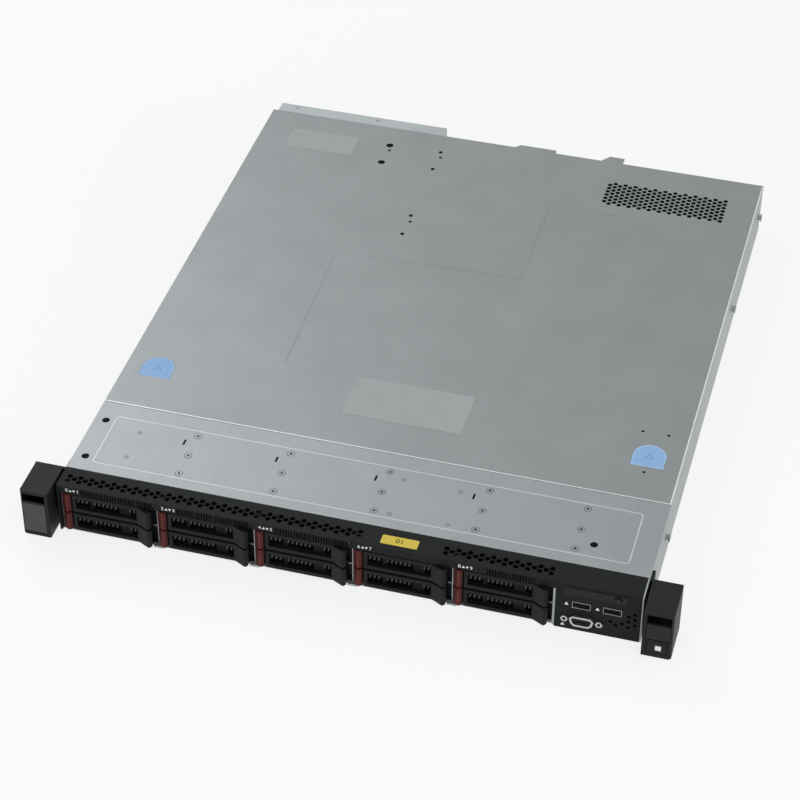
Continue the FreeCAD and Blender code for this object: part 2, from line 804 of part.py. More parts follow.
def supply_module(index):
    """Case with inlet recess, exhaust slots and a loop handle."""
    x, z = supply_place(index)
    face = supply_face_y
    case = box(x, x + supply_width, face - supply_length, face, z, z + supply_height)
    cuts = [box(x + inlet_x, x + inlet_x + inlet_width, face - inlet_depth, face + 1,
                z + inlet_z, z + inlet_z + inlet_height)]
    for slot in range(exhaust_slots):
        z0 = z + exhaust_z + slot * exhaust_slot_pitch
        cuts.append(box(x + exhaust_x, x + exhaust_x + exhaust_slot_width, face - exhaust_depth, face + 1,
                        z0, z0 + exhaust_slot_height))
    bar_y = face + handle_reach
    low, high = z + handle_z[0], z + handle_z[1]
    loop = [(face, low), (bar_y - handle_bar, low), (bar_y, low + handle_bar), (bar_y, high - handle_bar),
            (bar_y - handle_bar, high), (face, high)]
    hole = [(face, low + handle_bar), (bar_y - handle_bar, low + handle_bar),
            (bar_y - handle_bar, high - handle_bar), (face, high - handle_bar)]
    left, right = x + handle_x, x + handle_x + handle_bar
    return joined([case.cut(cuts), prism_x(loop, left, right).cut(prism_x(hole, left, right))])


def supply_latch(index):
    """Thumb tab that is pressed towards the handle."""
    x, z = supply_place(index)
    right = x + supply_width - slide_gap - supply_latch_inset
    left = right - supply_latch_width
    y0, y1 = supply_face_y + slide_gap, supply_face_y + supply_latch_reach
    points = [(left, y0), (right, y0), (right, y1 - 2), (right - 1, y1), (left - 1, y1),
              (left - 1, y1 - 1.5), (left, y1 - 3)]
    return prism_z(points, z + supply_latch_z[0], z + supply_latch_z[1])


# ---- riser and ports
def slot_cover_places():
    x = (riser_left + riser_right - slot_cover_width) / 2
    z = board_top + slot_cover_gap
    return [(x, z + k * (slot_cover_height + slot_cover_gap)) for k in range(slot_cover_count)]


def slot_cover(x, z):
    cover = box(x, x + slot_cover_width, riser_rear - cage_sheet, riser_rear, z, z + slot_cover_height)
    middle = z + slot_cover_height / 2
    first = x + (slot_cover_width - (slot_vents - 1) * slot_vent_pitch - slot_vent[0]) / 2
    cuts = []
    for k in range(slot_vents):
        left = first + k * slot_vent_pitch
        cuts.append(box(left, left + slot_vent[0], riser_rear - cage_sheet - 1, riser_rear + 1,
                        middle - slot_vent[1] / 2, middle + slot_vent[1] / 2))
    return cover.cut(cuts)


def riser_cage():
    """Bent sheet round the slots, their covers, and the riser board with its sockets."""
    front = riser_rear - riser_length
    top = wall_top - cage_sheet
    pieces = [box(riser_left, riser_right, front, riser_rear, top, wall_top)]
    windows = []
    for x, z in slot_cover_places():
        windows.append(box(x - seat_gap, x + slot_cover_width + seat_gap, riser_rear - cage_sheet - 1,
                           riser_rear + 1, z - seat_gap, z + slot_cover_height + seat_gap))
    rear = box(riser_left, riser_right, riser_rear - cage_sheet, riser_rear, board_top, top)
    pieces.append(rear.cut(windows))
    pieces.append(box(riser_left, riser_left + cage_sheet, front, riser_rear, board_top, top))
    board_x = riser_left + cage_sheet + port_gap
    y0, y1 = front + 2 * port_gap, riser_rear - 8 * port_gap
    board = box(board_x, board_x + board_thickness, y0, y1, board_top, board_top + riser_board_height)
    solids = [joined(pieces), board]
    for x, z in slot_cover_places():
        solids.append(slot_cover(x, z))
        socket_z = z + slot_cover_height / 2 - module_socket_width / 2
        solids.append(box(board_x + board_thickness, board_x + board_thickness + 3 * module_socket_height,
                          y0 + port_gap, y1 - port_gap, socket_z, socket_z + module_socket_width))
    return solids


def shell_outline(x, z, grow):
    """D-shaped connector shell with cut corners, wide side up."""
    wide, narrow = video_shell[0] / 2 + grow, video_shell[0] / 2 - 1.2 + grow
    half, corner = video_shell[1] / 2 + grow, video_shell_corner
    right = [(narrow - corner, -half), (narrow, corner - half), (wide, half - corner), (wide - corner, half)]
    left = [(-dx, dz) for dx, dz in reversed(right)]
    return [(x + dx, z + dz) for dx, dz in right + left]


def jack_screws(x, z, grow):
    places = (x - video_screw_spacing / 2, x + video_screw_spacing / 2)
    return [hexagon(place, z, video_screw_flats + 2 * grow) for place in places]


def video_port(x, z, inner_y, outward):
    """Connector body behind its panel, shell and jack screws through it."""
    back_y = inner_y - outward * video_body_depth
    y0, y1 = sorted((back_y, inner_y))
    body = box(x - video_width / 2, x + video_width / 2, y0, y1, z - video_height / 2, z + video_height / 2)
    outer_y = inner_y + outward * (bezel_wall + video_shell[2] / 2)
    screw_y = outer_y - outward
    shell = prism_y(shell_outline(x, z, 0), *sorted((inner_y, outer_y)))
    mouth = prism_y(shell_outline(x, z, -video_shell_wall), *sorted((inner_y, outer_y + outward)))
    pieces = [body, shell.cut(mouth)]
    pieces += [prism_y(points, *sorted((inner_y, screw_y))) for points in jack_screws(x, z, 0)]
    return joined(pieces)


def usb_port(x, z, mouth_y, back_y):
    inward = 1 if back_y > mouth_y else -1
    y0, y1 = sorted((mouth_y, back_y))
    case = box(x - usb_width / 2, x + usb_width / 2, y0, y1, z - usb_height / 2, z + usb_height / 2)
    c0, c1 = sorted((mouth_y - inward, mouth_y + inward * usb_cavity_depth))
    cavity = box(x - usb_width / 2 + usb_wall, x + usb_width / 2 - usb_wall, c0, c1,
                 z - usb_height / 2 + usb_wall, z + usb_height / 2 - usb_wall)
    return case.cut(cavity)


def front_ports():
    """Small board behind the panel with two USB receptacles and the video connector."""
    board_front = tub_front + usb_depth
    board = box(divider_right + port_gap, half_width - sheet - port_gap, board_front,
                board_front + board_thickness, sheet, operator_plate[2])
    solids = [board]
    for dx, z in front_usb:
        solids.append(usb_port(divider_right + dx, z, face_y - seat_gap, board_front))
    inner = tub_front + seat_gap
    x, z = divider_right + front_video[0], front_video[1]
    solids.append(video_port(x, z, inner, -1))
    solids.append(box(x - 5, x + 5, inner + video_body_depth, board_front, z - 5, z + 5))
    return solids


def rear_port_faces():
    """Left, right, bottom and top of each port, from the supply cage towards the riser."""
    faces = []
    x = supply_cage_right + rear_port_start
    for k in range(jack_count):
        faces.append((x, x + jack_width, board_top, board_top + jack_height))
        x += jack_width + port_gap
    faces.append((x, x + usb_width, board_top, board_top + usb_height + rear_usb_rise))
    x += usb_width + port_gap
    faces.append((x, x + video_width, board_top, board_top + video_height))
    return faces


def rear_ports():
    faces = rear_port_faces()
    solids = []
    for x0, x1, z0, z1 in faces[:jack_count]:
        case = box(x0, x1, tub_rear - jack_depth, tub_rear, z0, z1)
        side = (jack_width - jack_cavity[0]) / 2
        floor = (jack_height - jack_cavity[1]) / 2
        solids.append(case.cut(box(x0 + side, x1 - side, tub_rear - jack_cavity[2], tub_rear + 1,
                                   z0 + floor, z1 - floor)))
    x0, x1, z0, z1 = faces[jack_count]
    stack = box(x0, x1, tub_rear - usb_depth, tub_rear, z0, z1)
    for k in range(rear_usb_count):
        middle = z0 + usb_height / 2 + k * rear_usb_rise
        stack = stack.cut(box(x0 + usb_wall, x1 - usb_wall, tub_rear - usb_cavity_depth, tub_rear + 1,
                              middle - usb_height / 2 + usb_wall, middle + usb_height / 2 - usb_wall))
    solids.append(stack)
    x0, x1, z0, z1 = faces[-1]
    solids.append(video_port((x0 + x1) / 2, (z0 + z1) / 2, tub_rear, 1))
    return solids


def operator_panel():
    x0, x1, z0, z1 = operator_plate
    plate = box(divider_right + x0, divider_right + x1, face_y - operator_plate_rise, face_y, z0, z1)
    points = bored(hole_sides, button_radius + slide_gap, divider_right + button_x, button_z)
    return plate.cut(prism_y(points, face_y - operator_plate_rise - 1, face_y + 1))


def power_button():
    """Plunger through the panel with a collar behind it."""
    x = divider_right + button_x
    front = face_y - operator_plate_rise - button_rise
    collar_y = tub_front + slide_gap
    plunger = prism_y(ring_points(hole_sides, button_radius, x, button_z), front, collar_y)
    collar = prism_y(ring_points(hole_sides, button_radius + 1, x, button_z), collar_y,
                     collar_y + button_depth)
    return joined([plunger, collar])


# ---- rack ears, built on the right side and mirrored for the left
def mirrored(shape):
    return shape.mirror(vector(0, 0, 0), vector(1, 0, 0))


def hinge_centre(bottom):
    return ear_front + flap_thickness / 2, bottom + flap_thickness / 2


def ear_bracket():
    flange = box(half_width, ear_out, ear_back, deck_front, ear_bottom, ear_top)
    leg = box(half_width, half_width + bracket, ear_back, deck_y(bracket_leg), ear_bottom + leg_edge,
              ear_top - leg_edge)
    hole = cylinder(rack_hole_radius, bracket + 2, (rack_hole_spacing / 2, ear_back - 1, rack_hole_z),
                    (0, 1, 0))
    return joined([flange, leg]).cut(hole)


def ear_body(flap_bottom, has_tab):
    """Moulded block: finger recess over the flap, screw pocket behind it, tab slot below."""
    block = [(ear_in, ear_front), (ear_out - ear_edge, ear_front), (ear_out, ear_front + ear_edge),
             (ear_out, ear_back), (ear_in, ear_back)]
    cuts = [box(pocket_in, pocket_out, ear_front - 1, ear_front + recess_depth, recess_z[0] - 1,
                recess_z[1])]
    cuts.append(box(pocket_in, pocket_out, ear_front - 1, ear_back + 1, flap_bottom - slide_gap,
                    recess_z[0]))
    y, z = hinge_centre(flap_bottom)
    cuts.append(prism_x(bored(pin_sides, flap_pin_radius + pin_gap, y, z), pocket_in - flap_pin_length,
                        pocket_out + flap_pin_length))
    if has_tab:
        left, right = ear_in + tab_left - slide_gap, ear_in + tab_left + tab_width + slide_gap
        cuts.append(box(left, right, ear_front - 1, ear_front + tab_head + slide_gap, tab_z[0] - slide_gap,
                        tab_z[1] + slide_gap))
        middle = (tab_z[0] + tab_z[1]) / 2
        cuts.append(box(left, right, ear_front, ear_back + 1, middle - tab_card / 2 - slide_gap,
                        middle + tab_card / 2 + slide_gap))
    return prism_z(block, ear_bottom, ear_top).cut(cuts)


def ear_flap(flap_bottom):
    """Plate with a round lower edge and a pin at each end."""
    y, z = hinge_centre(flap_bottom)
    top = recess_z[0] - slide_gap
    left, right = pocket_in + slide_gap, pocket_out - slide_gap
    radius = flap_thickness / 2
    points = [(ear_front + flap_thickness, top), (ear_front, top)]
    for k in range(flap_edge_steps + 1):
        angle = math.pi * k / flap_edge_steps
        points.append((y - radius * math.cos(angle), z - radius * math.sin(angle)))
    reach = flap_pin_length - pin_gap
    pin = prism_x(ring_points(pin_sides, flap_pin_radius, y, z), pocket_in - reach, pocket_out + reach)
    return joined([prism_x(points, left, right), pin])


def info_tab():
    left, right = ear_in + tab_left, ear_in + tab_left + tab_width
    middle = (tab_z[0] + tab_z[1]) / 2
    head = box(left, right, ear_front, ear_front + tab_head, tab_z[0], tab_z[1])
    card = box(left, right, ear_front + tab_head, ear_front + tab_length, middle - tab_card / 2,
               middle + tab_card / 2)
    return joined([head, card])


def save_drives():
    for column in range(bay_columns):
        for row in range(bay_rows):
            number = str(column * bay_rows + row)
            x, z = tray_place(column, row)
            save("drive_tray_" + number, [drive_tray(x, z), drive_disk(x, z)])
            save("drive_lever_" + number, [drive_lever(x, z)])
            save("drive_latch_" + number, [drive_latch(x, z)])


def save_moving():
    save("top_cover", [top_cover(), cover_rear_flange()])
    save("touch_pads", touch_pads())
    for index in range(fan_count):
        save("fan_rotor_" + str(index + 1), [fan_rotor(index)])
    for index in range(supply_count):
        save("power_supply_" + str(index + 1), [supply_module(index)])
        save("supply_latch_" + str(index + 1), [supply_latch(index)])
    save("power_button", [power_button()])
    save("info_tab", [info_tab()])
    save("ear_flap_right", [ear_flap(right_flap_bottom)])
    save("ear_flap_left", [mirrored(ear_flap(left_flap_bottom))])


def save_fixed():
    save("chassis_base", [chassis_base()])
    save("front_top_plate", [front_top_plate()])
    save("front_bezel", [front_bezel()])
    save("operator_panel", [operator_panel()])
    save("front_ports", front_ports())
    save("drive_cage", [drive_cage()])
    save("drive_backplane", [drive_backplane()])
    save("fan_housings", [fan_housing(index) for index in range(fan_count)])
    save("system_board", [system_board()])
    save("heat_sink", heat_sink())
    save("memory_modules", memory_modules())
    save("supply_cage", [supply_cage()])
    save("riser_cage", riser_cage())
    save("rear_ports", rear_ports())
    save("ear_right", [ear_bracket(), ear_body(right_flap_bottom, True)])
    save("ear_left", [mirrored(ear_bracket()), mirrored(ear_body(left_flap_bottom, False))])


os.makedirs("parts", exist_ok=True)
save_fixed()
save_moving()
save_drives()
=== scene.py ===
import bpy
import bmesh
import math
from mathutils import Matrix, Vector


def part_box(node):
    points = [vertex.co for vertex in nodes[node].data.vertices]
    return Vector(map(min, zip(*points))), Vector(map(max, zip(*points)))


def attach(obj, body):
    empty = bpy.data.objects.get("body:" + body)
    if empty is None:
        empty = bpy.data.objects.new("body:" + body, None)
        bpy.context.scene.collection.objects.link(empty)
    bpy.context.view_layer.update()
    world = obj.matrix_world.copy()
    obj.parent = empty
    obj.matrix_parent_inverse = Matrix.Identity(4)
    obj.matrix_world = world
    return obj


# 1U rack server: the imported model's pieces get their finishes here, and the small trim is added

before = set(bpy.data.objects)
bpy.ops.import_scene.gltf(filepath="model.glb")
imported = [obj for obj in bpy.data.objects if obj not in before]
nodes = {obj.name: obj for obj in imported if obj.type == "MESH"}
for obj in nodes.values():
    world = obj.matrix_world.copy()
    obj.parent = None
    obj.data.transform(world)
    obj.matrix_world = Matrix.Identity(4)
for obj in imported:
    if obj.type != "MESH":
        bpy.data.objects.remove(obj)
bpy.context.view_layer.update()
mm = 0.001
print("frame loaded:", len(nodes), "nodes")


# places read from the frame
def low(node):
    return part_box(node)[0]


def high(node):
    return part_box(node)[1]


faceY = low("front_bezel").y        # bezel face
deckY = low("front_top_plate").y    # front edge of the light top
topZ = high("top_cover").z
halfWidth = high("front_top_plate").x
trayNumbers = range(10)


# small tools
def linear(hexColour, alpha=1.0):
    channels = [int(hexColour[i:i + 2], 16) / 255 for i in (1, 3, 5)]
    straight = [c / 12.92 if c <= 0.04045 else ((c + 0.055) / 1.055) ** 2.4 for c in channels]
    return (*straight, alpha)


def addNode(tree, kind, settings=None, links=None):
    # settings are properties or input values, links are sources for inputs
    node = tree.nodes.new(kind)
    for name, value in (settings or {}).items():
        if isinstance(name, str) and hasattr(node, name):
            setattr(node, name, value)
        else:
            node.inputs[name].default_value = value
    for name, source in (links or {}).items():
        tree.links.new(source, node.inputs[name])
    return node


def newMaterial(name, **values):
    # a Principled material whose plain values sit on the shader's own sockets
    material = bpy.data.materials.new(name)
    material.use_nodes = True
    shader = material.node_tree.nodes["Principled BSDF"]
    for socket, value in values.items():
        shader.inputs[socket.replace("_", " ")].default_value = value
    return material, material.node_tree, shader


def objectPoint(tree, scale=(1, 1, 1)):
    coordinates = addNode(tree, "ShaderNodeTexCoord")
    mapping = addNode(tree, "ShaderNodeMapping", {"Scale": scale}, {"Vector": coordinates.outputs["Object"]})
    return mapping.outputs["Vector"]


def grain(tree, size, scale=(1, 1, 1), detail=2.0, seed=0.0):
    # noise whose cells are about size metres
    point = objectPoint(tree, scale)
    offset = addNode(tree, "ShaderNodeVectorMath", {"operation": "ADD", 1: (seed, seed, seed)}, {0: point})
    noise = addNode(tree, "ShaderNodeTexNoise", {"Scale": 1 / size, "Detail": detail},
                    {"Vector": offset.outputs[0]})
    return noise.outputs["Fac"]


def spread(tree, source, lowValue, highValue, start=0.3, end=0.7):
    ranged = addNode(tree, "ShaderNodeMapRange", {"From Min": start, "From Max": end,
                                                  "To Min": lowValue, "To Max": highValue}, {"Value": source})
    return ranged.outputs["Result"]


def bumpFrom(tree, shader, source, height, strength=1.0):
    bump = addNode(tree, "ShaderNodeBump", {"Strength": strength, "Distance": height}, {"Height": source})
    tree.links.new(bump.outputs["Normal"], shader.inputs["Normal"])


def colourFrom(tree, shader, source, first, second):
    blend = addNode(tree, "ShaderNodeMix", {"data_type": "RGBA"}, {0: source})
    blend.inputs[6].default_value = linear(first)
    blend.inputs[7].default_value = linear(second)
    tree.links.new(blend.outputs[2], shader.inputs["Base Color"])


# finishes
def galvanisedSteel(name, first, second, roughness):
    # cold-rolled sheet with a zinc coat: satin grey, barely seen rolling lines along Y, cloudy patches
    material, tree, shader = newMaterial(name, Metallic=1.0, Roughness=roughness)
    clouds = grain(tree, 45 * mm, detail=3.0)
    lines = grain(tree, 0.9 * mm, scale=(1, 0.012, 1), detail=1.0, seed=3.0)
    colourFrom(tree, shader, spread(tree, clouds, 0.0, 1.0), first, second)
    tree.links.new(spread(tree, lines, roughness - 0.02, roughness + 0.02), shader.inputs["Roughness"])
    bumpFrom(tree, shader, lines, 0.004 * mm, 0.22)
    return material


def powderCoat(name, colour, worn, roughness):
    # baked epoxy powder on steel: even colour with a fine orange-peel surface about 0.5 mm across
    material, tree, shader = newMaterial(name, Roughness=roughness)
    shader.inputs["Specular IOR Level"].default_value = 0.14
    peel = grain(tree, 0.55 * mm, detail=1.0)
    colourFrom(tree, shader, spread(tree, grain(tree, 18 * mm, detail=3.0), 0.0, 1.0), colour, worn)
    bumpFrom(tree, shader, peel, 0.03 * mm, 0.5)
    return material


def mouldedPlastic(name, colour, worn, roughness, sheen=0.16, sparkGrain=0.35):
    # injection-moulded ABS with a spark-eroded texture: soft sheen broken up by a sub-millimetre grain
    material, tree, shader = newMaterial(name, Roughness=roughness, IOR=1.53)
    shader.inputs["Specular IOR Level"].default_value = sheen
    texture = grain(tree, sparkGrain * mm, detail=2.0)
    colourFrom(tree, shader, spread(tree, grain(tree, 9 * mm, detail=2.0), 0.0, 1.0), colour, worn)
    tree.links.new(spread(tree, texture, roughness - 0.06, roughness + 0.08), shader.inputs["Roughness"])
    bumpFrom(tree, shader, texture, 0.02 * mm, 0.45)
    return material


def platedMetal(name, colour, roughness):
    # nickel-plated pressed steel: bright, with faint handling haze
    material, tree, shader = newMaterial(name, Metallic=1.0, Roughness=roughness)
    haze = grain(tree, 3 * mm, detail=3.0)
    colourFrom(tree, shader, haze, colour, colour)
    tree.links.new(spread(tree, haze, roughness - 0.05, roughness + 0.1), shader.inputs["Roughness"])
    return material


def milledAluminium(name, colour, shade, roughness):
    # milled aluminium: light grey with fine cutter lines across the fins
    material, tree, shader = newMaterial(name, Metallic=1.0, Roughness=roughness)
    lines = grain(tree, 0.8 * mm, scale=(0.02, 1, 0.02), detail=1.0)
    colourFrom(tree, shader, lines, colour, shade)
    bumpFrom(tree, shader, lines, 0.006 * mm, 0.6)
    return material


def glassLaminate(name, mask, copper, roughness=0.42):
    # green solder mask over copper tracks: lighter lines where tracks run under the mask
    material, tree, shader = newMaterial(name, Roughness=roughness, IOR=1.5)
    tracks = addNode(tree, "ShaderNodeTexBrick", {"Scale": 1.0, "Mortar Size": 0.35 * mm,
                                                  "Brick Width": 9 * mm, "Row Height": 1.9 * mm,
                                                  "Mortar Smooth": 0.2}, {"Vector": objectPoint(tree)})
    tracks.offset = 0.37
    colourFrom(tree, shader, tracks.outputs["Fac"], mask, copper)
    bumpFrom(tree, shader, tracks.outputs["Fac"], 0.03 * mm, 0.5)
    return material


def printedInk(name, colour):
    # screen-printed ink, and the same flat matt colour used as painted shade in holes, gaps and recesses:
    # opaque, matt, a little uneven at the edges
    material, tree, shader = newMaterial(name, Roughness=0.6)
    shader.inputs["Specular IOR Level"].default_value = 0.08
    colourFrom(tree, shader, grain(tree, 0.8 * mm), colour, colour)
    bumpFrom(tree, shader, grain(tree, 0.3 * mm), 0.01 * mm, 0.4)
    return material


def labelFilm(name, colour, shade, roughness=0.38):
    # polyester label film: smooth, slightly lighter than the steel, with tiny waves from the glue
    material, tree, shader = newMaterial(name, Roughness=roughness, IOR=1.5)
    shader.inputs["Specular IOR Level"].default_value = 0.2
    waves = grain(tree, 14 * mm, detail=1.0)
    colourFrom(tree, shader, spread(tree, waves, 0.0, 1.0), colour, shade)
    bumpFrom(tree, shader, waves, 0.05 * mm, 0.3)
    return material


finishes = {
    "coverSteel": galvanisedSteel("galvanised_steel_cover", "#8f9495", "#8a8f90", 0.48),
    "plateSteel": galvanisedSteel("galvanised_steel_plate", "#979c9d", "#92979a", 0.48),
    "tubSteel": galvanisedSteel("galvanised_steel_tub", "#a3a8a9", "#9ba0a1", 0.48),
    "lipSteel": galvanisedSteel("galvanised_steel_cage", "#aeb4b5", "#a6acad", 0.45),
    "bezelPaint": powderCoat("powder_coat_black", "#121414", "#161818", 0.55),
    "blackPlastic": mouldedPlastic("moulded_abs_black", "#121313", "#151616", 0.55),
    "earPlastic": mouldedPlastic("moulded_abs_ear", "#151717", "#1a1c1c", 0.5),
    "flapPlastic": mouldedPlastic("moulded_abs_flap", "#434545", "#4a4c4c", 0.5),
    "flapDark": mouldedPlastic("moulded_abs_flap_dark", "#1d1f1f", "#222424", 0.5),
    # darker than the levers' black: the trays' own black plastic plus painted shade in the recess behind the
    # lever windows
    "trayBlackAndShade": mouldedPlastic("moulded_abs_tray_painted_shade", "#070808", "#0a0b0b", 0.6),
    "latchRed": mouldedPlastic("moulded_abs_red", "#401b1a", "#471e1d", 0.5),
    "padBlue": mouldedPlastic("moulded_abs_blue", "#90b7e6", "#98bfec", 0.4),
    "panelFilm": labelFilm("polyester_film_black", "#141615", "#181a19", 0.4),
    "portPlate": platedMetal("nickel_plate", "#bdbfc0", 0.3),
    "sinkMetal": milledAluminium("milled_aluminium", "#c6c8ca", "#b5b7b9", 0.35),
    "supplySteel": galvanisedSteel("galvanised_steel_supply", "#abb0b0", "#a2a6a6", 0.4),
    "boardMask": glassLaminate("solder_mask_green", "#12472c", "#1c6440"),
    "fanPlastic": mouldedPlastic("glass_filled_nylon", "#151616", "#1a1b1b", 0.5),
    # pale grey of the lever fins: painted highlight where the bars' tops catch the light
    "finHighlightPlastic": mouldedPlastic("painted_highlight_fins", "#3b3d3e", "#444647", 0.5),
    # lighter red of the latch ridge: painted highlight along the ridge
    "ridgeHighlightRed": mouldedPlastic("painted_highlight_red_ridge", "#6e2c26", "#78322b", 0.45),
    # bright steel for the hems: painted highlight along the seam and the right edge
    "hemHighlight": galvanisedSteel("painted_highlight_hem", "#d6dada", "#d0d4d5", 0.4),
    # near-black used for painted shade: in holes, slots and pierced holes, under the vent and on the bay
    # walls under the roof
    "paintedShadeBlack": printedInk("painted_shade_black", "#060707"),
    "buttonDark": mouldedPlastic("moulded_abs_button_dark", "#2a221c", "#302822", 0.5),
    "markWhite": printedInk("screen_print_white", "#ececea"),
    "inkDark": printedInk("screen_print_dark", "#2b2820"),
    # near-black disc in each rivet's socket: painted shade
    "rivetSocketShade": printedInk("shadow_gap_dark", "#080909"),
    # dark grey ring round each rivet head: painted shade in the gap
    "rivetGapShade": printedInk("painted_shade_rivet_gap", "#5f6364"),
    # lighter steel for the bead: painted highlight on its crown
    "beadHighlightSteel": galvanisedSteel("painted_highlight_bead", "#bbc0c1", "#b5babc", 0.44),
    # darker steel for the dimples: painted shade standing in for the pressed hollows
    "dimpleShadeSteel": galvanisedSteel("painted_shade_dimple", "#83898a", "#7e8385", 0.5),
    "rivetSteel": galvanisedSteel("galvanised_steel_rivet", "#8f9496", "#888d8f", 0.4),
    "scoreLine": galvanisedSteel("galvanised_steel_scored", "#777c7e", "#717678", 0.5),
    "labelFilm": labelFilm("polyester_film_pale", "#a7adae", "#aab0b1"),
    "stickerYellow": labelFilm("polyester_film_yellow", "#d8c04a", "#dcc552"),
    # lighter blue for the pad rims: painted highlight on the raised rim
    "padRimHighlight": mouldedPlastic("painted_highlight_blue_rim", "#b0cdec", "#b8d4f0", 0.45),
    "padMark": mouldedPlastic("moulded_abs_blue_mark", "#5f90cc", "#6898d2", 0.45),
    "contactGold": platedMetal("gold_flash", "#c7a352", 0.25),
    # near-black for the video connector's contact and nut holes: painted shade in the holes
    "contactWellShade": printedInk("painted_shade_contact_well", "#101112"),
    "insulator": mouldedPlastic("glass_filled_polyester", "#23272b", "#282c30", 0.5),
}
print("finishes:", len(finishes))


# finishes and eased edges on the frame's own pieces
edgeSizes = {"sheet": 0.18, "moulded": 0.35, "small": 0.15, "merge": 0.002, "bevelAngle": 35,
             "flatAngle": 1.5}

dressing = {
    "coverSteel": ("sheet", ["top_cover"]),
    "plateSteel": ("sheet", ["front_top_plate"]),
    "tubSteel": ("sheet", ["chassis_base", "drive_cage", "riser_cage"]),
    "lipSteel": ("sheet", ["supply_cage"]),
    "bezelPaint": ("sheet", ["front_bezel"]),
    "blackPlastic": ("moulded", ["drive_lever_%d" % k for k in trayNumbers] + ["power_button"]),
    "earPlastic": ("moulded", ["ear_left", "ear_right", "info_tab"]),
    "flapPlastic": ("moulded", ["ear_flap_left"]),
    "flapDark": ("moulded", ["ear_flap_right"]),
    "trayBlackAndShade": ("small", ["drive_tray_%d" % k for k in trayNumbers]),
    "latchRed": ("moulded", ["drive_latch_%d" % k for k in trayNumbers]
                 + ["supply_latch_1", "supply_latch_2"]),
    "padBlue": ("small", ["touch_pads"]),
    "panelFilm": ("small", ["operator_panel"]),
    "portPlate": ("small", ["front_ports", "rear_ports"]),
    "sinkMetal": ("small", ["heat_sink"]),
    "supplySteel": ("small", ["power_supply_1", "power_supply_2"]),
    "boardMask": ("small", ["system_board", "drive_backplane", "memory_modules"]),
    "fanPlastic": ("small", ["fan_housings"] + ["fan_rotor_%d" % (k + 1) for k in range(4)]),
}


def easeEdges(thing, width):
    # merge the loose triangles, clear flat faces and round the sharp edges a little
    weld = thing.modifiers.new("weld", "WELD")
    weld.merge_threshold = edgeSizes["merge"] * mm
    flat = thing.modifiers.new("flat", "DECIMATE")
    flat.decimate_type = "DISSOLVE"
    flat.angle_limit = math.radians(edgeSizes["flatAngle"])
    bevel = thing.modifiers.new("bevel", "BEVEL")
    bevel.width = width * mm
    bevel.segments = 2
    bevel.limit_method = "ANGLE"
    bevel.angle_limit = math.radians(edgeSizes["bevelAngle"])


for finish, (edge, names) in dressing.items():
    for name in names:
        nodes[name].data.materials.clear()
        nodes[name].data.materials.append(finishes[finish])
        easeEdges(nodes[name], edgeSizes[edge])
print("frame dressed")


def meshFrom(name, shape):
    mesh = bpy.data.meshes.new(name)
    shape.normal_update()
    shape.to_mesh(mesh)
    shape.free()
    return mesh


def addPiece(name, mesh, finish, body):
    mesh.materials.clear()
    mesh.materials.append(finishes[finish])
    thing = bpy.data.objects.new(name, mesh)
    bpy.context.scene.collection.objects.link(thing)
    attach(thing, body)
    return thing


def softBlock(size, rounding, lean=0.0):
    # block about the origin with rounded edges; lean shifts its top sideways
    shape = bmesh.new()
    bmesh.ops.create_cube(shape, size=1.0)
    for vertex in shape.verts:
        vertex.co = Vector((vertex.co.x * size[0], vertex.co.y * size[1], vertex.co.z * size[2]))
        vertex.co.x += lean * (vertex.co.z / size[2] + 0.5)
    bmesh.ops.bevel(shape, geom=shape.edges[:], offset=rounding, segments=2, affect="EDGES", profile=0.5)
    return meshFrom("block", shape)


def turned(profile, sides=24):
    # profile of (radius, height) pairs spun about Z; a zero radius closes the middle
    shape = bmesh.new()
    rings = []
    for radius, height in profile:
        if radius == 0:
            rings.append([shape.verts.new((0, 0, height))])
            continue
        steps = [2 * math.pi * k / sides for k in range(sides)]
        rings.append([shape.verts.new((radius * math.cos(a), radius * math.sin(a), height)) for a in steps])
    for lower, upper in zip(rings, rings[1:]):
        for k in range(sides):
            after = (k + 1) % sides
            corners = [lower[k % len(lower)], lower[after % len(lower)],
                       upper[after % len(upper)], upper[k % len(upper)]]
            unique = list(dict.fromkeys(corners))
            if len(unique) > 2:
                shape.faces.new(unique)
    bmesh.ops.recalc_face_normals(shape, faces=shape.faces[:])
    return meshFrom("turned", shape)


def plateFrom(outline, z0, z1):
    # flat plate of any outline between two heights
    shape = bmesh.new()
    bottom = [shape.verts.new((x, y, z0)) for x, y in outline]
    face = shape.faces.new(bottom)
    raised = bmesh.ops.extrude_face_region(shape, geom=[face])["geom"]
    for item in raised:
        if isinstance(item, bmesh.types.BMVert):
            item.co.z = z1
    bmesh.ops.recalc_face_normals(shape, faces=shape.faces[:])
    return meshFrom("plate", shape)


def roundedOutline(x0, x1, y0, y1, radius, steps=5):
    centres = [(x1 - radius, y1 - radius, 0), (x0 + radius, y1 - radius, 90),
               (x0 + radius, y0 + radius, 180), (x1 - radius, y0 + radius, 270)]
    points = []
    for cx, cy, start in centres:
        for k in range(steps + 1):
            angle = math.radians(start + 90 * k / steps)
            points.append((cx + radius * math.cos(angle), cy + radius * math.sin(angle)))
    return points


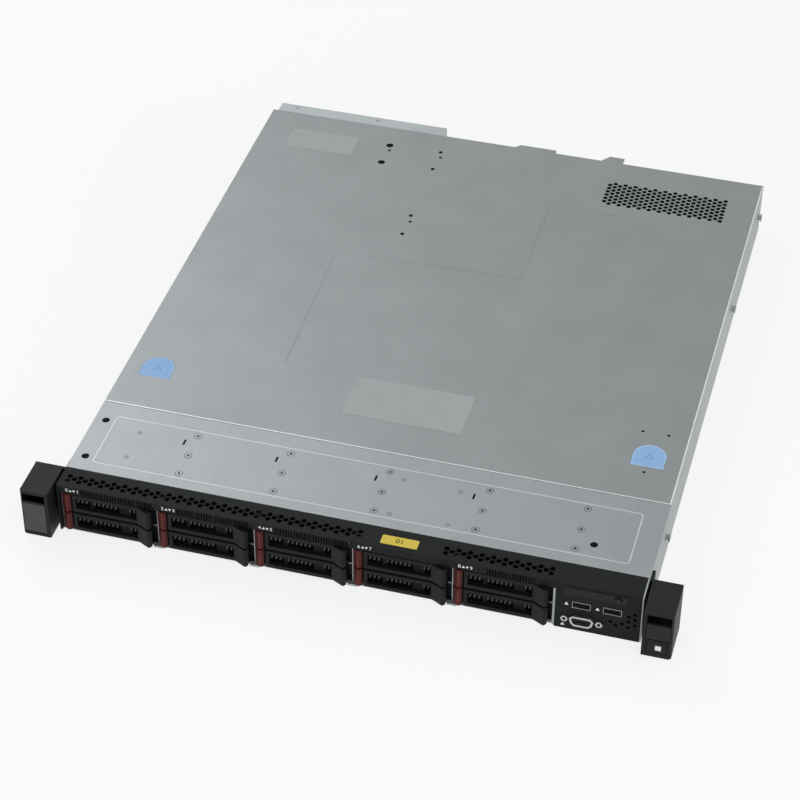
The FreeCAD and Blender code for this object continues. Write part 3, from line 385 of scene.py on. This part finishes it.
def strip(points, width, z0, z1, closed):
    # low bead along a path: flat base, narrower crown
    count = len(points)
    shape = bmesh.new()
    rows = []
    for k, (x, y) in enumerate(points):
        before = Vector(points[k - 1] if closed or k > 0 else points[k])
        after = Vector(points[(k + 1) % count] if closed or k < count - 1 else points[k])
        along = (after - before).normalized()
        side = Vector((-along.y, along.x))
        offsets = ((-0.5, z0), (-0.25, z1), (0.25, z1), (0.5, z0))
        rows.append([shape.verts.new((x + side.x * share * width, y + side.y * share * width, z))
                     for share, z in offsets])
    for k in range(count if closed else count - 1):
        one, two = rows[k], rows[(k + 1) % count]
        for j in range(3):
            shape.faces.new((one[j], two[j], two[j + 1], one[j + 1]))
        shape.faces.new((one[3], two[3], two[0], one[0]))
    if not closed:
        shape.faces.new(rows[0])
        shape.faces.new(list(reversed(rows[-1])))
    bmesh.ops.recalc_face_normals(shape, faces=shape.faces[:])
    return meshFrom("strip", shape)


def written(words, height, depth, place, lying):
    # plain numbers as a solid: lying flat on a top, or standing on a front face
    curve = bpy.data.curves.new("written", "FONT")
    curve.body = words
    curve.size = height * 1.4
    curve.extrude = depth / 2
    curve.resolution_u = 3
    curve.align_x = "CENTER"
    curve.align_y = "CENTER"
    thing = bpy.data.objects.new("written", curve)
    bpy.context.scene.collection.objects.link(thing)
    bpy.context.view_layer.update()
    mesh = bpy.data.meshes.new_from_object(thing.evaluated_get(bpy.context.evaluated_depsgraph_get()))
    bpy.data.objects.remove(thing)
    turn = Matrix.Identity(4) if lying else Matrix.Rotation(math.radians(90), 4, "X")
    mesh.transform(Matrix.Translation(Vector(place)) @ turn)
    return mesh


def joinedMesh(meshes):
    shape = bmesh.new()
    for mesh in meshes:
        shape.from_mesh(mesh)
    return meshFrom("joined", shape)


def moved(mesh, place, turn=None):
    mesh.transform(Matrix.Translation(Vector(place)) @ (turn or Matrix.Identity(4)))
    return mesh


def repeatTree(finish):
    # one stamp on every point, scaled by the named size, made real and given its finish
    tree = bpy.data.node_groups.new("repeat_" + finish, "GeometryNodeTree")
    for name, kind in (("Geometry", "NodeSocketGeometry"), ("Stamp", "NodeSocketObject"),
                       ("Size", "NodeSocketVector")):
        tree.interface.new_socket(name, in_out="INPUT", socket_type=kind)
    tree.interface.new_socket("Geometry", in_out="OUTPUT", socket_type="NodeSocketGeometry")
    start = addNode(tree, "NodeGroupInput")
    stamp = addNode(tree, "GeometryNodeObjectInfo", {"As Instance": True}, {"Object": start.outputs["Stamp"]})
    placed = addNode(tree, "GeometryNodeInstanceOnPoints", None,
                     {"Points": start.outputs["Geometry"], "Instance": stamp.outputs["Geometry"],
                      "Scale": start.outputs["Size"]})
    real = addNode(tree, "GeometryNodeRealizeInstances", None, {"Geometry": placed.outputs["Instances"]})
    dressed = addNode(tree, "GeometryNodeSetMaterial", {"Material": finishes[finish]},
                      {"Geometry": real.outputs["Geometry"]})
    addNode(tree, "NodeGroupOutput", None, {"Geometry": dressed.outputs["Geometry"]})
    return tree


def repeated(name, stamp, points, finish, body, size=(1.0, 1.0, 1.0)):
    carrier = bpy.data.meshes.new(name + "_points")
    carrier.from_pydata([tuple(p) for p in points], [], [])
    holder = bpy.data.objects.new(name + "_points", carrier)
    shaped = bpy.data.objects.new(name + "_stamp", stamp)
    for thing in (holder, shaped):
        bpy.context.scene.collection.objects.link(thing)
    tree = repeatTree(finish)
    modifier = holder.modifiers.new("repeat", "NODES")
    modifier.node_group = tree
    sockets = {item.name: item.identifier for item in tree.interface.items_tree
               if item.in_out == "INPUT"}
    modifier[sockets["Stamp"]] = shaped
    modifier[sockets["Size"]] = size
    bpy.context.view_layer.update()
    mesh = bpy.data.meshes.new_from_object(holder.evaluated_get(bpy.context.evaluated_depsgraph_get()))
    for thing in (holder, shaped):
        bpy.data.objects.remove(thing)
    return addPiece(name, mesh, finish, body)


def onDeck(x, distance, z=0.0):
    # a place on the top: millimetres across, behind the deck's front edge, above the top
    return Vector((x * mm, deckY + distance * mm, topZ + z * mm))


# bezel: fine upright ribs in the air windows, marks at each bay, sticker
bayLefts = [low("drive_tray_%d" % (2 * k)).x / mm - 0.7 for k in range(5)]
ribs = {"spans": ((0, 16.5, 72.0), (1, 16.5, 72.0), (2, 16.5, 72.0), (4, 25.0, 60.0)),
        "window": 17.5, "bar": 1.4, "pitch": 2.05, "width": 0.9, "depth": 1.7, "bottom": 37.3, "top": 42.3,
        "rounding": 0.15}


def makeRibs():
    points = []
    middle = (ribs["bottom"] + ribs["top"]) / 2
    for column, start, end in ribs["spans"]:
        length = end - start + ribs["bar"]
        windows = math.ceil(length / (ribs["window"] + ribs["bar"]))
        repeat = length / windows
        each = round(repeat / ribs["pitch"])
        for k in range(windows * each):
            if k % each:
                x = bayLefts[column] + start - ribs["bar"] / 2 + k * repeat / each
                points.append((x * mm, faceY + (ribs["depth"] / 2 + 0.05) * mm, middle * mm))
    height = ribs["top"] - ribs["bottom"] + 0.2
    stamp = softBlock((ribs["width"] * mm, ribs["depth"] * mm, height * mm), ribs["rounding"] * mm)
    repeated("bezel_ribs", stamp, points, "bezelPaint", "root")


bayMarks = {"height": 3.0, "depth": 0.12, "rise": 39.9, "offsets": (5.4, 8.3, 11.0, 13.9), "arrow": 2.3}


def frontArrow(size, x, z, upward):
    # flat triangle on the front face
    tip = 0.5 if upward else -0.5
    outline = [(-size / 2, -tip * size * 0.8), (size / 2, -tip * size * 0.8), (0, tip * size)]
    mesh = plateFrom(outline if upward else outline[::-1], 0, 0.1 * mm)
    mesh.transform(Matrix.Rotation(math.radians(90), 4, "X"))
    return moved(mesh, (x, faceY + 0.02 * mm, z))


def makeBayMarks():
    meshes = []
    rise = bayMarks["rise"] * mm
    for column, left in enumerate(bayLefts):
        places = [(left + offset) * mm for offset in bayMarks["offsets"]]
        for number, x in ((2 * column, places[0]), (2 * column + 1, places[3])):
            meshes.append(written(str(number), bayMarks["height"] * mm, bayMarks["depth"] * mm,
                                  (x, faceY - 0.04 * mm, rise), False))
        meshes.append(frontArrow(bayMarks["arrow"] * mm, places[1], rise, True))
        meshes.append(frontArrow(bayMarks["arrow"] * mm, places[2], rise, False))
    addPiece("bay_numbers", joinedMesh(meshes), "markWhite", "root")


sticker = {"x": (25.9, 52.9), "y": (-16.5, -7.5), "thickness": 0.12, "corner": 0.8, "number": "01",
           "numberHeight": 4.6}


def makeSticker():
    x0, x1 = sticker["x"]
    y0, y1 = sticker["y"]
    outline = roundedOutline(x0 * mm, x1 * mm, deckY + y0 * mm, deckY + y1 * mm, sticker["corner"] * mm)
    addPiece("sticker", plateFrom(outline, topZ, topZ + sticker["thickness"] * mm), "stickerYellow", "root")
    place = onDeck((x0 + x1) / 2, (y0 + y1) / 2, sticker["thickness"])
    number = written(sticker["number"], sticker["numberHeight"] * mm, 0.08 * mm, place, True)
    addPiece("sticker_number", number, "inkDark", "root")


# drive levers: slanted fins that hang from the upper edge of the window, drawn in a pale grey that is a
# painted highlight on the bars' tops, and the latch's ridge, drawn in a lighter red that is a painted
# highlight
fins = {"places": (12.8, 16.0, 19.2, 25.6, 28.8, 32.0, 35.2, 38.4, 41.6, 52.6, 55.6), "width": 1.15,
        "depth": 1.0, "height": 3.4, "lean": 0.55, "rise": 3.1, "setBack": 1.0, "rounding": 0.12}
latchRidge = {"width": 0.9, "height": 14.6, "proud": 0.15, "share": 0.62}


def makeFins():
    for k in trayNumbers:
        tray = "drive_tray_%d" % k
        left = low(tray).x / mm
        middle = (low(tray).z + high(tray).z) / 2 / mm
        points = [((left + place) * mm, faceY + fins["setBack"] * mm, (middle + fins["rise"]) * mm)
                  for place in fins["places"]]
        stamp = softBlock((fins["width"] * mm, fins["depth"] * mm, fins["height"] * mm),
                          fins["rounding"] * mm, fins["lean"] * mm)
        repeated("lever_fins_%d" % k, stamp, points, "finHighlightPlastic", "drive_lever_%d" % k)


def makeLatchRidges():
    for k in trayNumbers:
        latch = "drive_latch_%d" % k
        first, last = low(latch), high(latch)
        # the ridge's lighter red is a painted highlight on the latch
        ridge = softBlock((latchRidge["width"] * mm, 2 * latchRidge["proud"] * mm,
                           latchRidge["height"] * mm), 0.06 * mm)
        x = first.x + (last.x - first.x) * latchRidge["share"]
        addPiece("latch_ridge_%d" % k, moved(ridge, (x, first.y, (first.z + last.z) / 2)), "ridgeHighlightRed", latch)


# top plate: flush rivets, faint dimples and the pressed bead
rivets = {"x": (-135.5, -63.4, 12.6, 87.7, 160.2), "y": (58.5, 35.9, 15.2), "radius": 3.0, "height": 0.14,
          "socket": 0.95, "groove": 0.3, "crown": 1.6, "rimShare": 0.4, "socketShare": 0.3}
dimples = {"places": ((-178.7, 50.4), (-178.7, 22.0), (24.1, 52.9), (24.1, 14.7), (67.4, 51.2),
                      (67.1, 14.6)), "radius": 2.0, "height": 0.05, "flat": 0.85}
bead = {"x": (-201.0, 200.0), "y": (10.0, 64.0), "corner": 3.0, "width": 1.1, "height": 0.16}


def makeRivets():
    points = [onDeck(x, y) for x in rivets["x"] for y in rivets["y"]]
    radius, height, socket = rivets["radius"] * mm, rivets["height"] * mm, rivets["socket"] * mm
    inner, rimTop = radius - rivets["groove"] * mm, height * rivets["rimShare"]
    # the dark ring round each head and the dark disc in its middle are painted shade in the gap and the
    # socket
    rim = turned([(inner, 0.0), (radius, 0.0), (radius, rimTop), (inner, rimTop), (inner, 0.0)], 28)
    repeated("rivet_grooves", rim, points, "rivetGapShade", "root")
    crown, socketTop = radius - rivets["crown"] * rivets["groove"] * mm, height * rivets["socketShare"]
    head = turned([(socket, 0.0), (inner, 0.0), (crown, height), (socket, height), (socket, 0.0)], 28)
    repeated("rivet_heads", head, points, "rivetSteel", "root")
    middle = turned([(0, 0.0), (socket, 0.0), (socket, socketTop), (0, socketTop)], 20)
    repeated("rivet_sockets", middle, points, "rivetSocketShade", "root")


def makeDimples():
    # the dimples are raised discs in a darker steel: painted shade standing in for the pressed hollows
    radius, height = dimples["radius"] * mm, dimples["height"] * mm
    stamp = turned([(0, 0.0), (radius, 0.0), (radius * dimples["flat"], height), (0, height)], 28)
    repeated("dimples", stamp, [onDeck(x, y) for x, y in dimples["places"]], "dimpleShadeSteel", "root")


def makeBead():
    # the bead is drawn in a lighter steel than the plate: painted highlight on its crown
    x0, x1 = bead["x"]
    y0, y1 = bead["y"]
    path = roundedOutline(x0 * mm, x1 * mm, deckY + y0 * mm, deckY + y1 * mm, bead["corner"] * mm)
    addPiece("plate_bead", strip(path, bead["width"] * mm, topZ, topZ + bead["height"] * mm, True),
             "beadHighlightSteel", "root")


# low hem strips along the seam and the right side, in a bright steel that is a painted highlight
hems = {"width": 1.1, "height": 0.14, "inset": 0.6, "sideLength": 496.0}


def makeHems():
    y = low("top_cover").y + hems["inset"] * mm
    path = [(-halfWidth, y), (halfWidth, y)]
    addPiece("cover_hem", strip(path, hems["width"] * mm, topZ, topZ + hems["height"] * mm, False),
             "hemHighlight", "cover")
    x = halfWidth - hems["inset"] * mm
    path = [(x, low("top_cover").y + mm), (x, deckY + hems["sideLength"] * mm)]
    addPiece("side_hem", strip(path, hems["width"] * mm, topZ, topZ + hems["height"] * mm, False),
             "hemHighlight", "cover")


# dark discs in the holes and slots, and a black sheet under the vent: painted shade standing in for the dark
# inside of the holes
holeShades = {"plate": (((-208.2, 57.6), (-208.2, 14.9), (172.3, 22.8)), 2.78, "root"),
         "cover": (((-103.4, 471.0), (-103.5, 444.4)), 2.98, "cover"),
         "pad": (((181.4, 154.6), (201.0, 154.8), (191.1, 109.2)), 1.18, "cover")}
holeShadeDepth = {"drop": 0.6, "dish": 0.15, "thickness": 0.3, "ring": (0.7, 0.5)}
slotShades = {"x": (-143.2, -71.6, 4.3, 78.0), "y": 49.5, "size": (1.46, 5.96, 0.3)}
ventShade = {"area": (46.0, 205.0, 430.0, 478.0), "thickness": 0.1, "drop": 0.1, "corner": 2.0}


# the dark discs and bars are painted shade in the holes and slots
def makePlugs():
    top, bottom = -holeShadeDepth["drop"] * mm, -(holeShadeDepth["drop"] + holeShadeDepth["thickness"]) * mm
    for name, (places, wide, body) in holeShades.items():
        radius = wide * mm
        stamp = turned([(0, bottom), (radius, bottom), (radius, top),
                        (holeShadeDepth["ring"][0] * radius, top),
                        (holeShadeDepth["ring"][1] * radius, top - holeShadeDepth["dish"] * mm),
                        (0, top - holeShadeDepth["dish"] * mm)], 24)
        repeated("hole_plugs_" + name, stamp, [onDeck(x, y) for x, y in places], "paintedShadeBlack", body)
    stamp = softBlock(tuple(v * mm for v in slotShades["size"]), 0.05 * mm)
    places = [onDeck(x, slotShades["y"], -holeShadeDepth["drop"]) for x in slotShades["x"]]
    repeated("slot_plugs", stamp, places, "paintedShadeBlack", "root")


# the black sheet under the vent is painted shade seen through the vent holes
def makeVentFilm():
    z1 = low("front_top_plate").z - ventShade["drop"] * mm
    x0, x1, y0, y1 = ventShade["area"]
    outline = roundedOutline(x0 * mm, x1 * mm, deckY + y0 * mm, deckY + y1 * mm, ventShade["corner"] * mm)
    addPiece("vent_film", plateFrom(outline, z1 - ventShade["thickness"] * mm, z1), "paintedShadeBlack", "root")


# thin black strips on the tops of the bay walls, under the bezel's roof: painted shade where the roof shades
# them
wallShade = {"width": 1.5, "reach": 20.0, "setBack": 0.4, "thickness": 0.06, "roof": 1.0}


def makeWallCaps():
    z0 = topZ - wallShade["roof"] * mm
    pairs = [(high("drive_tray_%d" % k).x, low("drive_tray_%d" % (k + 2)).x) for k in range(0, 8, 2)]
    meshes = []
    for left, right in pairs:
        x, half = (left + right) / 2, wallShade["width"] / 2 * mm
        y0 = faceY + wallShade["setBack"] * mm
        corners = [(x - half, y0), (x + half, y0), (x + half, y0 + wallShade["reach"] * mm),
                   (x - half, y0 + wallShade["reach"] * mm)]
        meshes.append(plateFrom(corners, z0, z0 + wallShade["thickness"] * mm))
    addPiece("bay_wall_caps", joinedMesh(meshes), "paintedShadeBlack", "root")


# cover: bare label fields, small pierced holes drawn as near-black discs of painted shade, the scored line
# and the marks on the pads
labels = {"front": (-41.2, 51.5, 113.6, 158.8), "rear": (-191.0, -132.0, 446.0, 474.0), "corner": 1.5,
          "thickness": 0.1}
marks = {"pierced": ((-58.4, 472.4), (-58.5, 446.0), (-58.3, 374.8), (-58.3, 348.0)),
         "small": ((-101.7, 463.3), (-56.5, 464.5), (-56.7, 366.4)),
         "piercedRadius": 1.8, "smallRadius": 1.4, "height": 0.05, "flat": 0.9}
score = {"path": ((-100.0, 160.0), (-103.4, 309.0), (50.0, 314.7), (49.7, 418.2), (110.0, 421.0)),
         "width": 0.55, "height": 0.03}
padMarks = {"width": 6.4, "depth": 5.0, "line": 0.8, "offset": 0.6, "height": 0.12, "rim": 0.9,
            "padRadius": 12.5, "rimHeight": 0.08, "arcStep": 12, "arcPoints": 16}


def makeCoverTrim():
    for name in ("front", "rear"):
        x0, x1, y0, y1 = labels[name]
        outline = roundedOutline(x0 * mm, x1 * mm, deckY + y0 * mm, deckY + y1 * mm, labels["corner"] * mm)
        addPiece("label_" + name, plateFrom(outline, topZ, topZ + labels["thickness"] * mm), "labelFilm",
                 "cover")
    # the pierced holes are flat near-black discs: painted shade
    for name, places in (("pierced", marks["pierced"]), ("small", marks["small"])):
        radius = marks[name + "Radius"] * mm
        height = marks["height"] * mm
        stamp = turned([(0, 0.0), (radius, 0.0), (radius * marks["flat"], height), (0, height)], 20)
        repeated("cover_marks_" + name, stamp, [onDeck(x, y) for x, y in places], "paintedShadeBlack", "cover")
    path = [tuple(onDeck(x, y).xy) for x, y in score["path"]]
    addPiece("scored_line", strip(path, score["width"] * mm, topZ, topZ + score["height"] * mm, False),
             "scoreLine", "cover")


def makePadMarks():
    # plain open triangle that points to the rear, on each pad
    pads = (low("touch_pads"), high("touch_pads"))
    width, depth = padMarks["width"] * mm, padMarks["depth"] * mm
    middleY = (pads[0].y + pads[1].y) / 2 - padMarks["offset"] * mm
    padHalf = padMarks["padRadius"] * mm
    shoulder = pads[1].y - padHalf
    arc = [math.radians(padMarks["arcStep"] * k) for k in range(padMarks["arcPoints"])]
    for number, x in enumerate((pads[0].x + padHalf, pads[1].x - padHalf)):
        path = [(x - width / 2, middleY - depth / 2), (x + width / 2, middleY - depth / 2),
                (x, middleY + depth / 2)]
        mesh = strip(path, padMarks["line"] * mm, topZ, topZ + padMarks["height"] * mm, True)
        addPiece("pad_mark_%d" % (number + 1), mesh, "padMark", "cover")
        # a ring of lighter blue round each pad: painted highlight on the raised rim
        reach = padHalf - padMarks["rim"] / 2 * mm
        rim = [(x + reach * math.cos(a), shoulder + reach * math.sin(a)) for a in arc]
        rim += [(x - reach, pads[0].y + padHalf - reach), (x + reach, pads[0].y + padHalf - reach)]
        mesh = strip(rim, padMarks["rim"] * mm, topZ, topZ + padMarks["rimHeight"] * mm, True)
        addPiece("pad_rim_%d" % (number + 1), mesh, "padRimHighlight", "cover")


# panel: receptacle tongues, the video connector's insulator, contacts, rim and nut holes, marks, button dot;
# the contacts and nut holes are near-black discs of painted shade
dividerX = low("operator_panel").x / mm - 5.5
panel = {"usb": ((18.8, 24.2), (41.0, 24.2)), "tongue": (9.6, 6.0, 1.8), "video": (19.8, 10.6),
         "insulator": (14.4, 5.6), "contactRows": ((5, 1.9), (5, 0.0), (5, -1.9)), "contactPitch": 2.3,
         "contactRadius": 0.42, "button": (44.5, 36.7), "dot": 1.6, "usbMark": 10.6, "mark": 3.0,
         "tongueBack": 4.6, "tongueRise": 0.6, "insulatorDepth": 1.0, "insulatorBack": 0.9,
         "contactBack": 0.36, "contactShift": 0.35, "contactHeight": 0.06, "dotHeight": 0.05,
         "videoMark": (13.6, 6.6)}
videoTrim = {"rim": (8.1, 6.9, 3.8, 1.8), "line": 1.5, "proud": 0.12, "nutBack": 1.0, "spacing": 24.99,
             "hole": 1.3, "holeHeight": 0.05}


def makePanelTrim():
    wide, deep, tall = (v * mm for v in panel["tongue"])
    tongue = softBlock((wide, deep, tall), 0.2 * mm)
    points = [((dividerX + x) * mm, faceY + panel["tongueBack"] * mm, (z + panel["tongueRise"]) * mm)
              for x, z in panel["usb"]]
    repeated("usb_tongues", tongue, points, "insulator", "root")
    x, z = dividerX + panel["video"][0], panel["video"][1]
    body = softBlock((panel["insulator"][0] * mm, panel["insulatorDepth"] * mm, panel["insulator"][1] * mm),
                     0.3 * mm)
    addPiece("video_insulator", moved(body, (x * mm, faceY + panel["insulatorBack"] * mm, z * mm)),
             "insulator", "root")
    holes = []
    for row, (count, rise) in enumerate(panel["contactRows"]):
        for k in range(count):
            shift = (k - (count - 1) / 2) * panel["contactPitch"] + panel["contactShift"] * (row % 2)
            holes.append(((x + shift) * mm, faceY + panel["contactBack"] * mm, (z + rise) * mm))
    # the contact holes are near-black discs: painted shade
    radius, height = panel["contactRadius"] * mm, panel["contactHeight"] * mm
    hole = turned([(0, 0.0), (radius, 0.0), (radius, height), (0, height)], 10)
    hole.transform(Matrix.Rotation(math.radians(90), 4, "X"))
    repeated("video_contacts", hole, holes, "contactWellShade", "root")
    radius, height = panel["dot"] * mm, panel["dotHeight"] * mm
    dot = turned([(0, 0.0), (radius, 0.0), (radius, height), (0, height)], 18)
    dot.transform(Matrix.Rotation(math.radians(90), 4, "X"))
    front = low("power_button").y
    place = ((dividerX + panel["button"][0]) * mm, front, panel["button"][1] * mm)
    addPiece("button_dot", moved(dot, place), "buttonDark", "power_button")


def makeVideoTrim():
    x, z = (dividerX + panel["video"][0]) * mm, panel["video"][1] * mm
    wide, narrow, half, corner = (v * mm for v in videoTrim["rim"])
    right = [(narrow - corner, -half), (narrow, corner - half), (wide, half - corner), (wide - corner, half)]
    path = right + [(-dx, dz) for dx, dz in reversed(right)]
    rim = strip(path, videoTrim["line"] * mm, 0.0, videoTrim["proud"] * mm, True)
    shellFront = low("front_ports").y
    addPiece("video_rim", moved(rim, (x, shellFront, z), Matrix.Rotation(math.radians(90), 4, "X")),
             "portPlate", "root")
    nutFront = shellFront + videoTrim["nutBack"] * mm
    # the nut holes are near-black discs: painted shade
    radius, height = videoTrim["hole"] * mm, videoTrim["holeHeight"] * mm
    hole = turned([(0, 0.0), (radius, 0.0), (radius, height), (0, height)], 14)
    hole.transform(Matrix.Rotation(math.radians(90), 4, "X"))
    points = [(x + side * videoTrim["spacing"] / 2 * mm, nutFront, z) for side in (-1, 1)]
    repeated("video_nut_holes", hole, points, "contactWellShade", "root")


def makePanelMarks():
    # plain arrows left of each receptacle and below the video connector
    places = [(dividerX + x - panel["usbMark"], z) for x, z in panel["usb"]]
    left, down = panel["videoMark"]
    places.append((dividerX + panel["video"][0] - left, panel["video"][1] - down))
    meshes = [frontArrow(panel["mark"] * mm, x * mm, z * mm, True) for x, z in places]
    addPiece("panel_marks", joinedMesh(meshes), "markWhite", "root")


tabMark = {"shares": (0.42, 0.58), "side": 4.2, "thickness": 0.12}


def makeTabMark():
    box = (low("info_tab"), high("info_tab"))
    x = box[0].x * tabMark["shares"][0] + box[1].x * tabMark["shares"][1]
    z = (box[0].z + box[1].z) / 2
    side = tabMark["side"] * mm
    plate = softBlock((side, tabMark["thickness"] * mm, side), 0.03 * mm)
    addPiece("tab_mark", moved(plate, (x, box[0].y, z)), "markWhite", "info_tab")


# rear: contacts and lamps of the network jacks, receptacle tongues and inlet blades
rear = {"jackPitch": 19.0, "jackWidth": 16.0, "start": 5.0, "contacts": 8, "contactPitch": 1.02,
        "contact": (0.45, 5.0, 0.35), "lamp": (2.4, 0.3, 1.6), "usbRise": 8.0,
        "contactBack": 6.0, "contactRise": 3.6, "lampSide": 5.4, "lampRise": 12.6, "usbStart": 6.55,
        "usbBack": 5.0, "usbSill": 2.85, "usbLift": 0.5, "usbTongue": (9.6, 7.0, 1.6)}


def makeRearTrim():
    firstX = high("supply_cage").x / mm + rear["start"]
    base = low("rear_ports").z / mm
    tubRear = high("chassis_base").y
    contacts, lampSpots = [], []
    for jack in range(3):
        middle = firstX + jack * rear["jackPitch"] + rear["jackWidth"] / 2
        for k in range(rear["contacts"]):
            shift = (k - (rear["contacts"] - 1) / 2) * rear["contactPitch"]
            contacts.append(((middle + shift) * mm, tubRear - rear["contactBack"] * mm,
                             (base + rear["contactRise"]) * mm))
        for side in (-rear["lampSide"], rear["lampSide"]):
            lampSpots.append(((middle + side) * mm, tubRear, (base + rear["lampRise"]) * mm))
    stamp = softBlock(tuple(v * mm for v in rear["contact"]), 0.08 * mm)
    repeated("jack_contacts", stamp, contacts, "contactGold", "root")
    stamp = softBlock(tuple(v * mm for v in rear["lamp"]), 0.1 * mm)
    repeated("jack_lamps", stamp, lampSpots, "labelFilm", "root")
    usbX = firstX + 3 * rear["jackPitch"] + rear["usbStart"]
    sill = base + rear["usbSill"] + rear["usbLift"]
    points = [(usbX * mm, tubRear - rear["usbBack"] * mm, (sill + k * rear["usbRise"]) * mm)
              for k in range(2)]
    stamp = softBlock(tuple(v * mm for v in rear["usbTongue"]), 0.2 * mm)
    repeated("rear_usb_tongues", stamp, points, "insulator", "root")


inlet = {"x": 8.0, "width": 25.0, "z": 9.0, "height": 17.0, "blade": (2.0, 11.0, 4.6), "side": 7.0,
         "rise": 2.0, "back": 8.2}


def makeInlets():
    for number in (1, 2):
        supply = "power_supply_%d" % number
        left = low(supply).x / mm
        base = low(supply).z / mm
        face = low("supply_latch_%d" % number).y
        middle = left + inlet["x"] + inlet["width"] / 2
        height = base + inlet["z"] + inlet["height"] / 2
        places = [(-inlet["side"], -inlet["rise"]), (inlet["side"], -inlet["rise"]), (0.0, inlet["rise"])]
        points = [((middle + dx) * mm, face - inlet["back"] * mm, (height + dz) * mm) for dx, dz in places]
        stamp = softBlock(tuple(v * mm for v in inlet["blade"]), 0.2 * mm)
        repeated("inlet_blades_%d" % number, stamp, points, "portPlate", supply)


makeRibs()
makeBayMarks()
makeSticker()
print("bezel trim made")
makeFins()
makeLatchRidges()
print("lever fins and latch ridges made")
makeRivets()
makeDimples()
makeBead()
makeHems()
makePlugs()
makeVentFilm()
makeWallCaps()
print("top plate trim made")
makeCoverTrim()
makePadMarks()
print("cover trim made")
makePanelTrim()
makeVideoTrim()
makePanelMarks()
makeTabMark()
print("panel trim made")
makeRearTrim()
makeInlets()
print("rear trim made")


# stage, lights and camera
stageValues = {"floorSize": 6.0, "floorColour": "#f4f5f5", "floorRoughness": 0.35,
               "floorSpecular": 0.25, "ownWhite": 0.8, "skyWhite": 0.9, "ambient": 0.5}
lamps = {
    "key": {"place": (-1.1, 0.95, 1.45), "size": 1.2, "power": 8.4},
    "fill": {"place": (0.9, -1.2, 1.1), "size": 1.4, "power": 6.0},
    "front": {"place": (-0.4, -1.6, 0.5), "size": 0.9, "power": 4.0},
    "right": {"place": (1.9, -0.2, 0.45), "size": 1.0, "power": 9.0},
}
cameraValues = {"azimuth": 15.267, "elevation": 39.525, "roll": 0.354, "pixels": 2490.98,
                "target": (-16.41, 190.53), "distance": 1952.2, "sensor": 36.0, "frame": 800}


def lightPathWhite(tree):
    # 1 for rays that see the stage directly, in a mirror or through glass
    path = addNode(tree, "ShaderNodeLightPath")
    first = addNode(tree, "ShaderNodeMath", {"operation": "ADD", "use_clamp": True},
                    {0: path.outputs["Is Camera Ray"], 1: path.outputs["Is Glossy Ray"]})
    both = addNode(tree, "ShaderNodeMath", {"operation": "ADD", "use_clamp": True},
                   {0: first.outputs[0], 1: path.outputs["Is Transmission Ray"]})
    return both.outputs[0]


def makeFloor():
    mesh = bpy.data.meshes.new("floor")
    half = stageValues["floorSize"] / 2
    mesh.from_pydata([(-half, -half, 0), (half, -half, 0), (half, half, 0), (-half, half, 0)], [],
                     [(0, 1, 2, 3)])
    floor = bpy.data.objects.new("floor", mesh)
    bpy.context.scene.collection.objects.link(floor)
    material, tree, shader = newMaterial("matt_white_floor", Roughness=stageValues["floorRoughness"])
    shader.inputs["Base Color"].default_value = linear(stageValues["floorColour"])
    shader.inputs["Specular IOR Level"].default_value = stageValues["floorSpecular"]
    glow = addNode(tree, "ShaderNodeEmission", {"Strength": 1.0})
    share = addNode(tree, "ShaderNodeMath", {"operation": "MULTIPLY", 1: stageValues["ownWhite"]},
                    {0: lightPathWhite(tree)})
    mixed = addNode(tree, "ShaderNodeMixShader", None,
                    {0: share.outputs[0], 1: shader.outputs[0], 2: glow.outputs[0]})
    output = tree.nodes["Material Output"]
    tree.links.new(mixed.outputs[0], output.inputs["Surface"])
    mesh.materials.append(material)


def makeWorld():
    world = bpy.data.worlds.new("studio")
    world.use_nodes = True
    tree = world.node_tree
    tree.nodes.clear()
    white = (1, 1, 1, 1)
    ambient = addNode(tree, "ShaderNodeBackground", {"Color": white, "Strength": stageValues["ambient"]})
    seen = addNode(tree, "ShaderNodeBackground", {"Color": white, "Strength": stageValues["skyWhite"]})
    mixed = addNode(tree, "ShaderNodeMixShader", None,
                    {0: lightPathWhite(tree), 1: ambient.outputs[0], 2: seen.outputs[0]})
    addNode(tree, "ShaderNodeOutputWorld", None, {"Surface": mixed.outputs[0]})
    bpy.context.scene.world = world


def makeLamps():
    for name, lamp in lamps.items():
        data = bpy.data.lights.new(name, "AREA")
        data.shape = "DISK"
        data.size = lamp["size"]
        data.energy = lamp["power"]
        thing = bpy.data.objects.new(name, data)
        thing.location = lamp["place"]
        thing.rotation_euler = (-Vector(lamp["place"])).to_track_quat("-Z", "Y").to_euler()
        bpy.context.scene.collection.objects.link(thing)


def makeCamera():
    v = cameraValues
    azimuth, elevation, roll = (math.radians(v[k]) for k in ("azimuth", "elevation", "roll"))
    back = Vector((math.sin(azimuth) * math.cos(elevation), -math.cos(azimuth) * math.cos(elevation),
                   math.sin(elevation)))
    side = Vector((0, 0, 1)).cross(back).normalized()
    up = back.cross(side)
    turnedSide = math.cos(roll) * side + math.sin(roll) * up
    turnedUp = -math.sin(roll) * side + math.cos(roll) * up
    target = Vector((v["target"][0] * mm, deckY + v["target"][1] * mm, 0))
    place = target + back * v["distance"] * mm
    turn = Matrix((turnedSide, turnedUp, back)).transposed().to_4x4()
    data = bpy.data.cameras.new("camera")
    data.sensor_width = v["sensor"]
    data.lens = v["pixels"] / v["frame"] * v["sensor"]
    data.clip_start, data.clip_end = 0.05, 20
    camera = bpy.data.objects.new("camera", data)
    camera.matrix_world = Matrix.Translation(place) @ turn
    bpy.context.scene.collection.objects.link(camera)
    bpy.context.scene.camera = camera


makeFloor()
makeWorld()
makeLamps()
makeCamera()
bpy.context.scene.view_settings.view_transform = "Standard"
print("stage, lamps and camera made")
